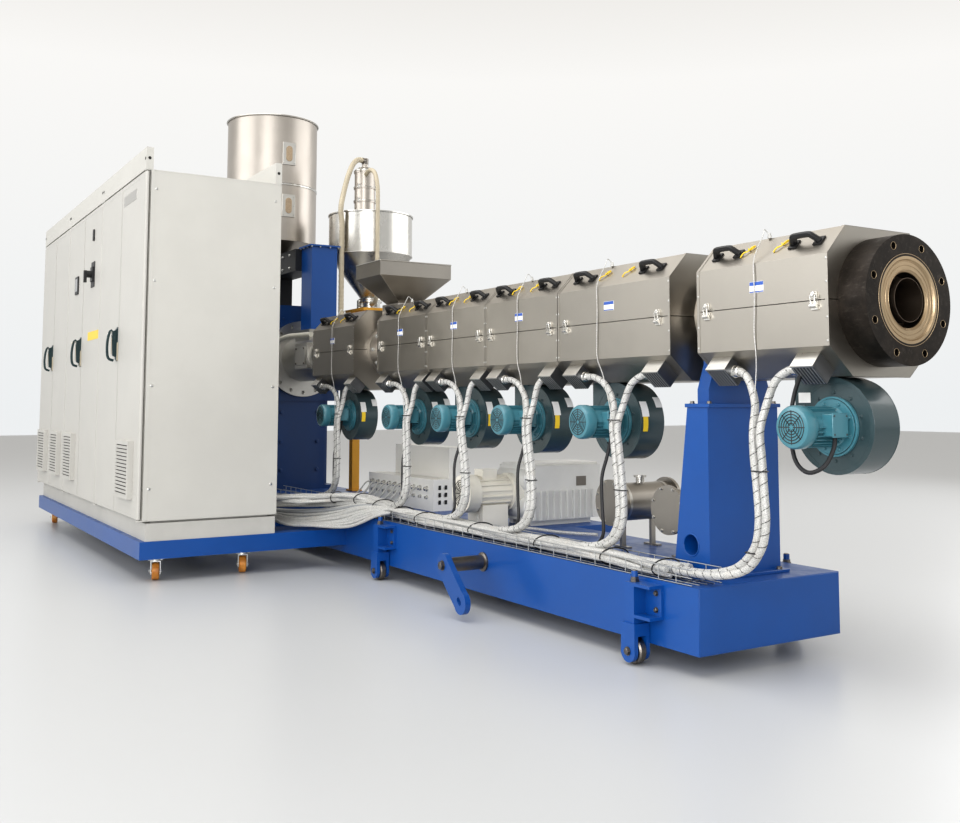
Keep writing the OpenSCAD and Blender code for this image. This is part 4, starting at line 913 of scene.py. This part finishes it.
def cable_bundle():
    """Leads of many thicknesses, twisting gently along the tray and fanning out towards the cabinets."""
    rng = random.Random(11)
    pale, grey, black, ties = shapes(4)
    spine = smooth_path(BUNDLE, 6)
    last = len(spine) - 1
    across = [(spine[min(i + 1, last)] - spine[max(i - 1, 0)]).normalized().cross(Vector(UP)).normalized()
              for i in range(last + 1)]
    for n in range(36):
        shape = pale if n % 6 < 5 else (grey if n % 12 == 5 else black)
        radius = rng.choice((8, 9, 11, 12, 15)) if shape is pale else 6
        place, high = rng.uniform(-1, 1), rng.uniform(-0.7, 1)
        phase = rng.uniform(0, math.tau)
        count = last + 1 if n < 16 else rng.randrange(len(spine) // 2 + 4, len(spine))
        line = []
        for i, p in enumerate(spine[:count]):
            spread = 64 * (1 + 0.75 * max(0, 1 - i / 22))
            rise = held((high + 0.3 * math.sin(phase * 1.7 + i * 0.41)) * 21, -15, 20)
            line.append(p + Vector((0, 0, rise))
                        + across[i] * held(place + 0.2 * math.sin(phase + i * 0.33), -1, 1) * spread)
        shape.tube(line, radius, 8)
    for i in range(26, last - 1, 7):
        loop = angles(20) + [math.tau]
        ties.tube([spine[i] + across[i] * (77 * math.cos(a)) + Vector((0, 0, 34 * math.sin(a) + 4))
                   for a in loop], 3, 6)
    for k in range(15):
        j = rng.uniform(-9, 9)
        line = [(2800 + 30 * k, -842, 420 - 4 * k), (2950 + 32 * k, -720 + j, max(262, 384 - 10 * k)),
                (3100 + 36 * k, -600 + j, max(258, 402 - 14 * k + j)),
                (3380 + 34 * k, -480 + j, 404 - 10 * k + j), (3640 + 32 * k, -402 + j, 408 - 4 * k),
                (3800 + 34 * k, -348 + j, 398 - k), (3980 + 36 * k, -305 + j * 2, 380 + j),
                (4300 + 36 * k, -296 + j * 3, 372 + j)]
        (grey if k == 6 else pale).tube(smooth_path(line, 5), rng.choice((9, 10, 12, 13)), 9)
    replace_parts(pale.make("pale_cables", SLEEVE), "cable_bundle")
    grey.make("grey_cables", CABLE_GREY)
    black.make("black_cables", CABLE_BLACK)
    ties.make("bundle_ties", MOULDING)


# ---------------------------------------------------------------- feed end and hoppers
FEED_FLANGE_X, FEED_END_X = 1860, 2688
COOLING_LINE = ((1885, -236, -60), (1925, -262, 40), (2010, -262, 118), (2160, -240, 150), (2330, -214, 152),
                (2520, -196, 150))


def feed_end():
    """Feed block, its cooling pipe, flange holes and the gearbox's bosses."""
    bolts, pipe, bands, block, holes, bosses = shapes(6)
    # the flange holes are thin near-black discs: painted shade in place of their depth
    for place in round_x(FEED_FLANGE_X, 255, 14):
        holes.lathe(place, AHEAD, [(0, 19), (0.8, 19)], 24)
    bolts.bolts(round_x(FEED_END_X, 160, 12), BACK, 9, 9)
    block.block((2205, -196, AXIS - 96), (2440, -140, AXIS + 96))
    block.block((2230, -202, AXIS - 70), (2415, -194, AXIS + 70))
    bolts.screws(grid((2245, 2400), -202, (AXIS - 55, AXIS + 55)), NEAR, 8, 6)
    pipe.tube(smooth_path([(x, y, AXIS + rise) for x, y, rise in COOLING_LINE], 8), 19, 14)
    bands.hoop((2505, 0, AXIS), AHEAD, 150, 153, 16, 48)
    bolts.make("feed_bolts", SHAFT)
    holes.make("feed_flange_holes", HOLE_SHADE)
    block.make("feed_cooling_block", BRIGHT, of="machined_steel", bevel=4)
    pipe.make("feed_cooling_pipe", PIPE)
    bands.make("feed_housing_band", CHROME)
    for place in grid(1813, (-150, 150), (930, 700, 480)):
        bosses.lathe(place, AHEAD, [(0, 15), (8, 15), (10, 11), (16, 11)], 20)
    bosses.bolts(grid(1833, (-270, -150, 0, 150, 270), AXIS + 315), AHEAD, 10, 8)
    bosses.bolts(grid(range(985, 1756, 110), (-333, 333), AXIS + 14), UP, 9, 8)
    # the gearbox bosses take the same blue enamel darkened as painted shade
    bosses.make("gearbox_bosses", SHADED_BLUE)


def main_hopper():
    """Bands and windows of the main hopper, and the bolts of its feeder and column."""
    x, y = 1351, -94
    face_x, face_y = x + 352, y + 9
    band, frames, glass, screws, ribs, bolts, column = shapes(7)
    for z in (2758, 2772):
        band.torus((x, y, z), UP, 365.5, 4, 96, 8)
    band.hoop((x, y, 2754), UP, 364.6, 366.4, 22, 96)
    band.torus((x, y, 3323), UP, 371, 7, 96, 8)
    for middle in (3013, 2588):
        frames.block((face_x, face_y - 54, middle - 92), (face_x + 19, face_y + 54, middle + 92))
        glass.plate(obround(face_x + 18, face_y, middle, 27, 64), AHEAD, 5)
        heads = grid(face_x + 20, (face_y - 44, face_y + 44), (middle - 72, middle, middle + 72))
        screws.screws(heads, AHEAD, 5, 4)
    band.make("hopper_bands", CHROME, of="hopper_steel")
    frames.make("window_frames", BRIGHT, of="hopper_steel", bevel=2)
    glass.make("sight_windows", WINDOW, bevel=3)
    screws.make("window_screws", ZINC)
    for k in range(14):
        ribs.torus((955 + k * 14, -40, 2097), AHEAD, 79, 3, 32, 6)
    bolts.bolts(grid(range(1200, 1951, 150), -154, (2050, 2150)), NEAR, 9, 7)
    ribs.make("feeder_motor_ribs", BLACK)
    bolts.make("feeder_bolts", ZINC)
    column.bolts(grid(2290, (-108, -40, 40, 108), 2188), DOWN, 7, 6)
    column.bolts(grid((2075, 2140, 2215), -112, 2188), DOWN, 7, 6)
    column.make("column_bolts", ZINC)


LOADER_X, LOADER_Y, LOADER_TOP = 2056, 430, 2919


def feed_hopper():
    """Rings and clamps of the feed hopper and of the loader on it, with its valve knob and lid."""
    x, y = 2101, 465
    trims, knob, lid = shapes(3)

    def clamps(cx, cy, radius, half, low, high, first, count=3):
        for k in range(count):
            angle = math.radians(first + 120 * k)
            mx, my = cx + radius * math.cos(angle), cy + radius * math.sin(angle)
            trims.block((mx - half, my - half, low), (mx + half, my + half, high))

    for z, radius, wire, sides in ((2165, 330.5, 4, 96), (2481, 334, 5, 96), (1738, 91, 5, 48),
                                   (1800, 91, 5, 48), (1818, 91, 5, 48)):
        trims.torus((x, y, z), UP, radius, wire, sides, 8)
    clamps(x, y, 88, 14, 1742, 1815, 20)
    for z in (2507, 2618, 2728, 2858):
        trims.torus((LOADER_X, LOADER_Y, z), UP, 88, 4, 40, 8)
    for z in (2600, 2712):
        clamps(LOADER_X, LOADER_Y, 86, 9, z, z + 36, -60)
    knob.lathe((LOADER_X - 140, LOADER_Y, 2529), BACK, [(0, 16), (6, 26), (20, 28), (30, 20), (34, 10)], 24)
    trims.make("hopper_clamps", CHROME, of="hopper_steel", bevel=1)
    knob.make("valve_knob", RED)
    lid.lathe((LOADER_X, LOADER_Y, 2864), UP, [(0, 84), (6, 84), (22, 58), (24, 40)], 40)
    lid.make("loader_lid", BRIGHT, of="hopper_steel")


SUCTION_LINE = [(2217, 178, 2640), (2267, 134, 2500), (2268, 144, 2380), (2268, 144, 2200), (2268, 144, 1900),
                (2268, 144, 1700), (2268, 144, 1556)]
RETURN_LINE = [(2135, 405.6, 2824), (2159, 398, 2824), (2183, 390.5, 2824), (2300, 364, 2822),
               (2400, 354, 2780), (2455, 350, 2690), (2470, 350, 2560), (2470, 350, 2100), (2468, 350, 1900),
               (2440, 359, 1810), (2359, 385, 1779), (2230, 425, 1779), (2171, 443, 1779)]


def ribbed(name, line, radius, node):
    """A hose with fine ribs, in place of the source's plain one."""
    path = smooth_path(line, 26)
    radii = [radius - 0.6 + 0.9 * math.sin(i * math.pi / 2) for i in range(len(path))]
    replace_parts(Shape().tube(path, radii, 14).make(name, HOSE, angle=60), node)


def hoses():
    """Suction hose to the feed throat and the loader's return pipe."""
    x, y, top = LOADER_X, LOADER_Y, LOADER_TOP
    start = [(x + dx, y + dy, top + dz) for dx, dy, dz in (
        (12, -22, 28), (18, -33.4, 28), (26, -48.4, 28), (52, -92, 16), (84, -142, -30), (118, -196, -130))]
    ribbed("ribbed_suction_hose", start + SUCTION_LINE, 21, "suction_hose")
    ribbed("loader_return_pipe", RETURN_LINE, 17, "loader_pipe")
    elbow = Shape()
    elbow.lathe((x, y, top), UP, [(0, 25.5), (6, 27), (44, 27), (50, 22), (54, 10)], 24)
    elbow.lathe((x + 10, y - 18.6, top + 28), (0.474, -0.88, 0), [(0, 23), (22, 23), (24, 22)], 20)
    elbow.make("loader_elbow", SHAFT)


def vent_hopper():
    """Rim and welds of the vent hopper, and the bolts of the barrel joints beside it."""
    x, rim_z = 3608, 1893
    rims, welds, collar = shapes(3)
    for dx in (-182.5, 182.5):
        rims.rod((x + dx, -252, rim_z), (x + dx, 252, rim_z), 4, 10)
    for y in (-252.5, 252.5):
        rims.rod((x - 182, y, rim_z), (x + 182, y, rim_z), 4, 10)
    for dx, dy in product((-1, 1), (-1, 1)):
        welds.tube([(x + dx * 182, dy * 252, 1803), (x + dx * 85, dy * 70, 1640)], 3, 6)
    rims.make("vent_hopper_rim", BRIGHT)
    welds.make("vent_hopper_welds", FUNNEL)
    for bolt_x, way in ((3472.5, AHEAD), (3742.5, BACK)):
        collar.bolts(round_x(bolt_x, 148, 10), way, 11, 10)
    collar.make("barrel_joint_bolts", ZINC)


# ---------------------------------------------------------------- pumps and boxes on the deck
PUMP_LEADS = ((7, [(4760, -120, 390), (4800, -150, 350), (4760, -200, 340), (4660, -236, 345)]),
              (8, [(5400, 200, 340), (5200, 120, 336), (4980, 60, 338), (4900, -60, 336), (4960, -200, 342)]))


def deck_units():
    """Pump, junction box, tanks and the loose leads between them."""
    x, z = 4700, 510
    cowl, grille, glands, plugs, pump, plate, lobes, tanks, leads = shapes(9)
    cowl.lathe((x, -116, z), NEAR, [(0, 102.4), (58, 102.4), (68, 97), (73, 82)], 48)
    for radius in (14, 26, 38, 50, 62, 74):
        grille.torus((x, -190.6, z), NEAR, radius, 2.2, 40, 6)
    for k in range(12):
        grille.block((-1.8, -191.5, 10), (1.8, -188.5, 78), about((x, 0, z), 30 * k))
    gland_xs = range(2975, 3768, 88)
    for gx in gland_xs:
        glands.lathe((gx, 100, 462), NEAR, [(0, 17), (8, 17), (10, 13), (22, 13), (26, 9)], 14)
        glands.lathe((gx, 100, 408), NEAR, [(0, 12), (6, 12), (8, 9), (18, 9)], 12)
    for y, row in product((138, 182), (366, 412, 458)):
        plugs.block((3844.5, y, row), (3847.5, y + 18, row + 26))
    pump.bolts(grid(range(4560, 4837, 46), 166, 655), UP, 7, 6)
    pump.block((4575, 152, 655), (4825, 640, 668))
    plate.block((4850, 472, 537), (4851.6, 540, 590))
    plate.make("pump_blank_plate", SHAFT)
    for up, radius in ((105, 74), (255, 72)):
        lobes.rod((x - 149, 194, DECK + up), (x + 149, 194, DECK + up), radius, 40, 6)
    lobes.make("pump_end_lobes", PUMP)
    cowl.make("pump_fan_cowl", CREAM, angle=30)
    grille.make("pump_fan_grille", MOULDING)
    glands.make("junction_glands", CHROME)
    plugs.make("junction_plugs", MOULDING, bevel=1)
    pump.make("pump_cover", PUMP, bevel=2)
    for tank_x in (5750, 6155):
        for y, way in ((4, NEAR), (362, FAR)):
            tanks.bolts(round_y((tank_x, y, DECK + 212), 97, 8), way, 6, 5)
        tanks.lathe((tank_x, 190, DECK + 298), UP, [(0, 20), (24, 20), (26, 30), (36, 30)], 28)
        for y in (60, 300):
            tanks.hoop((tank_x, y, DECK + 212), FAR, 88, 90, 14, 48)
    tanks.make("tank_fittings", BRIGHT)
    rng = random.Random(3)
    for k, gx in enumerate(gland_xs[:9]):
        lead = ((0, 76, 462), (4, 40, 455), (20 + 8 * (k % 3), -20, 400), (60, -120, 345 + 4 * (k % 3)),
                (110, -190, 338), (170, -226, 340))
        leads.tube(smooth_path([(gx + dx, y, lead_z) for dx, y, lead_z in lead], 5), rng.choice((5, 6, 7)), 7)
    for radius, line in PUMP_LEADS:
        leads.tube(smooth_path(line, 6), radius, 8)
    leads.make("deck_leads", SLEEVE)


# ---------------------------------------------------------------- cabinets
LOUVRE_LOW = 455
LEVER_LINE = ((-32, 1448), (-48, 1432), (-58, 1380), (-59, 1320), (-50, 1275), (-20, 1262))


def cabinet_shell():
    """Screws and edges of the side panel, lifting holes and caster bolts."""
    screws, holes, edges, feet = shapes(4)
    screws.screws(grid(ROW_END, (-868, -1578), (520, 1100, 1700, 2230)), AHEAD, 9, 3)
    for y in (-1590, -836):
        edges.block((ROW_END - 1, y, 344), (ROW_END + 1.2, y + 4, 2336))
    for z in (344, 2332):
        edges.block((ROW_END - 1, -1590, z), (ROW_END + 1.2, -832, z + 4))
    # the lifting holes are thin near-black discs: painted shade in place of their depth
    hole, hole_z = [(0, 9), (1.2, 9)], 2404
    for (y, way), bay, dx in product(((DOOR_Y - 0.6, NEAR), (-831.2, FAR)), range(3), (20, 1160)):
        holes.lathe((ROW_START + bay * BAY + dx, y, hole_z), way, hole, 20)
    for y in (-1622, -851):
        holes.lathe((ROW_END, y, hole_z), AHEAD, hole, 20)
    screws.make("side_panel_screws", ZINC)
    edges.make("side_panel_edges", CABINET)
    holes.make("lifting_holes", HOLE_SHADE)
    swivel = turned(-14, "Z")
    for place in grid((ROW_END - 96, ROW_START + 96), (-1506, -1001), 0):
        corner = Vector(place)
        feet.bolts([swivel @ Vector(spot) + corner for spot in grid((-38, 38), (-34, 34), 122)], DOWN, 7, 6)
        for out in (-1, 1):
            feet.bolts([swivel @ Vector((0, out * 27, 50)) + corner], swivel @ Vector((0, out, 0)), 10, 7)
    feet.make("caster_bolts", ZINC)


def pressed_edge(i, x0):
    """The line pressed round a leaf."""
    edge = Shape()
    for z in (368, 2304):
        edge.block((x0 + 14, DOOR_Y - 0.8, z), (x0 + LEAF - 14, DOOR_Y + 0.5, z + 2.4))
    for x in (x0 + 12, x0 + LEAF - 14):
        edge.block((x, DOOR_Y - 0.8, 368), (x + 2.4, DOOR_Y + 0.5, 2306))
    edge.make(f"door_{i}_pressed_edge", DOORS, f"door_{i}")


def louvres(i, x0):
    """Slanted blades at the foot of a leaf, over near-black strips that paint the shade in the gaps between
    them.
    """
    blades, gap_shade = shapes(2)
    cx = x0 + LEAF / 2
    for k in range(14):
        z = LOUVRE_LOW + 24 + k * 21
        # near-black strip behind each gap: painted shade
        gap_shade.block((cx - 139.5, DOOR_Y - 23.2, z), (cx + 139.5, DOOR_Y - 21.8, z + 9))
        blades.block((-140, -6, -3), (140, 6, 1), about((cx, DOOR_Y - 27, z), -28, "X"))
    blades.screws(grid((cx - 158, cx + 158), DOOR_Y - 30, (LOUVRE_LOW + 12, LOUVRE_LOW + 318)), NEAR, 5, 2)
    blades.make(f"door_{i}_louvres", DOORS, f"door_{i}", bevel=0.6)
    gap_shade.make(f"door_{i}_louvre_gap_shade", HOLE_SHADE, f"door_{i}", of="handle_black")


def swing_handle(i, x):
    """Plate, key, lever and inlay of a leaf's bow handle."""
    body = f"door_{i}"
    grip, key, lever, inlay = shapes(4)
    grip.block((x - 19, DOOR_Y - 4, 1258), (x + 19, DOOR_Y, 1468))
    grip.lathe((x, DOOR_Y - 24, 1436), NEAR, [(0, 9), (6, 9), (7, 6)], 20)
    grip.make(f"door_{i}_handle_plate", HANDLE, body, bevel=2)
    key.lathe((x, DOOR_Y - 33, 1436), NEAR, [(0, 4.5), (10, 4.5), (11, 3)], 12)
    key.torus((x, DOOR_Y - 46, 1424), AHEAD, 13, 1.4, 24, 6)
    key.make(f"door_{i}_key", CHROME, body, of="zinc")
    lever.tube(smooth_path([(x, DOOR_Y + dy, z) for dy, z in LEVER_LINE], 5), 5, 8, 1.6)
    lever.make(f"door_{i}_swing_lever", HANDLE, body)
    inlay.block((x + 17, DOOR_Y - 7, 1262), (x + 29, DOOR_Y, 1372))
    inlay.block((x - 8, DOOR_Y - 35.6, 1300), (x + 8, DOOR_Y - 34, 1400))
    inlay.make(f"door_{i}_handle_inlay", HOSE, body, bevel=1.5)


def door_plate(name, finish, body, bevel, *plates):
    """Flat plates on a leaf, as (x0, x1, low, high, front, back off the leaf)."""
    shape = Shape()
    for x0, x1, low, high, front, back in plates:
        shape.block((x0, DOOR_Y - front, low), (x1, DOOR_Y - back, high))
    shape.make(name, finish, body, bevel=bevel)


def cabinets():
    """The row of cabinets with what is on each leaf."""
    cabinet_shell()
    for i in range(1, 7):
        x0 = ROW_START + (i - 1) * LEAF
        pressed_edge(i, x0)
        if i in (1, 2, 3, 6):
            louvres(i, x0)
        if i in (1, 3, 5):
            swing_handle(i, x0 + LEAF - 34)
    door_plate("door_6_blank_plaque", BRIGHT, "door_6", 0.6, (3060, 3390, 2200, 2262, 1.4, 0))
    door_plate("door_3_display_frame", MOULDING, "door_3", 2, (1545, 1655, 1790, 1920, 9, 0))
    door_plate("door_3_display", DISPLAY, "door_3", 0, (1562, 1638, 1812, 1904, 9.8, 8.6))
    door_plate("door_4_switch_plates", MOULDING, "door_4", 1.5, (2150, 2180, 2112, 2190, 10, 0),
               (2110, 2220, 1792, 1966, 5, 0))
    door_plate("door_4_blank_tag", TAG_YELLOW, "door_4", 0, (2040, 2390, 1430, 1488, 1.2, 0))


# ---------------------------------------------------------------- make everything
for dress in (cover_fittings, cover_plates, terminal_trim, heater_leads, blowers, die_end, base_details,
              cable_tray, cable_bundle, feed_end, main_hopper, feed_hopper, hoses, vent_hopper, deck_units,
              cabinets):
    dress()

for name, width in (("base_frame", 4), ("front_pedestal", 3), ("dosing_column", 3), ("platform_frame", 4),
                    ("cabinet_plinth", 3), ("cabinet_end_panels", 2), ("junction_box", 4), ("gearbox", 6),
                    ("terminal_boxes", 1.5), ("dosing_feeder", 3), ("jack_brackets", 2), ("tow_lever", 2),
                    ("feed_hopper_stand", 2), ("pump_shelf", 2), ("blower_housings", 2)):
    soften(nodes[name], width)

floor_mesh = bpy.data.meshes.new("floor")
floor_corners = ((-30, -30), (30, -30), (30, 30), (-30, 30))
floor_mesh.from_pydata([(x, y, -0.001) for x, y in floor_corners], [], [(0, 1, 2, 3)])
floor_mesh.materials.append(FLOOR.material)
linked("floor", floor_mesh)
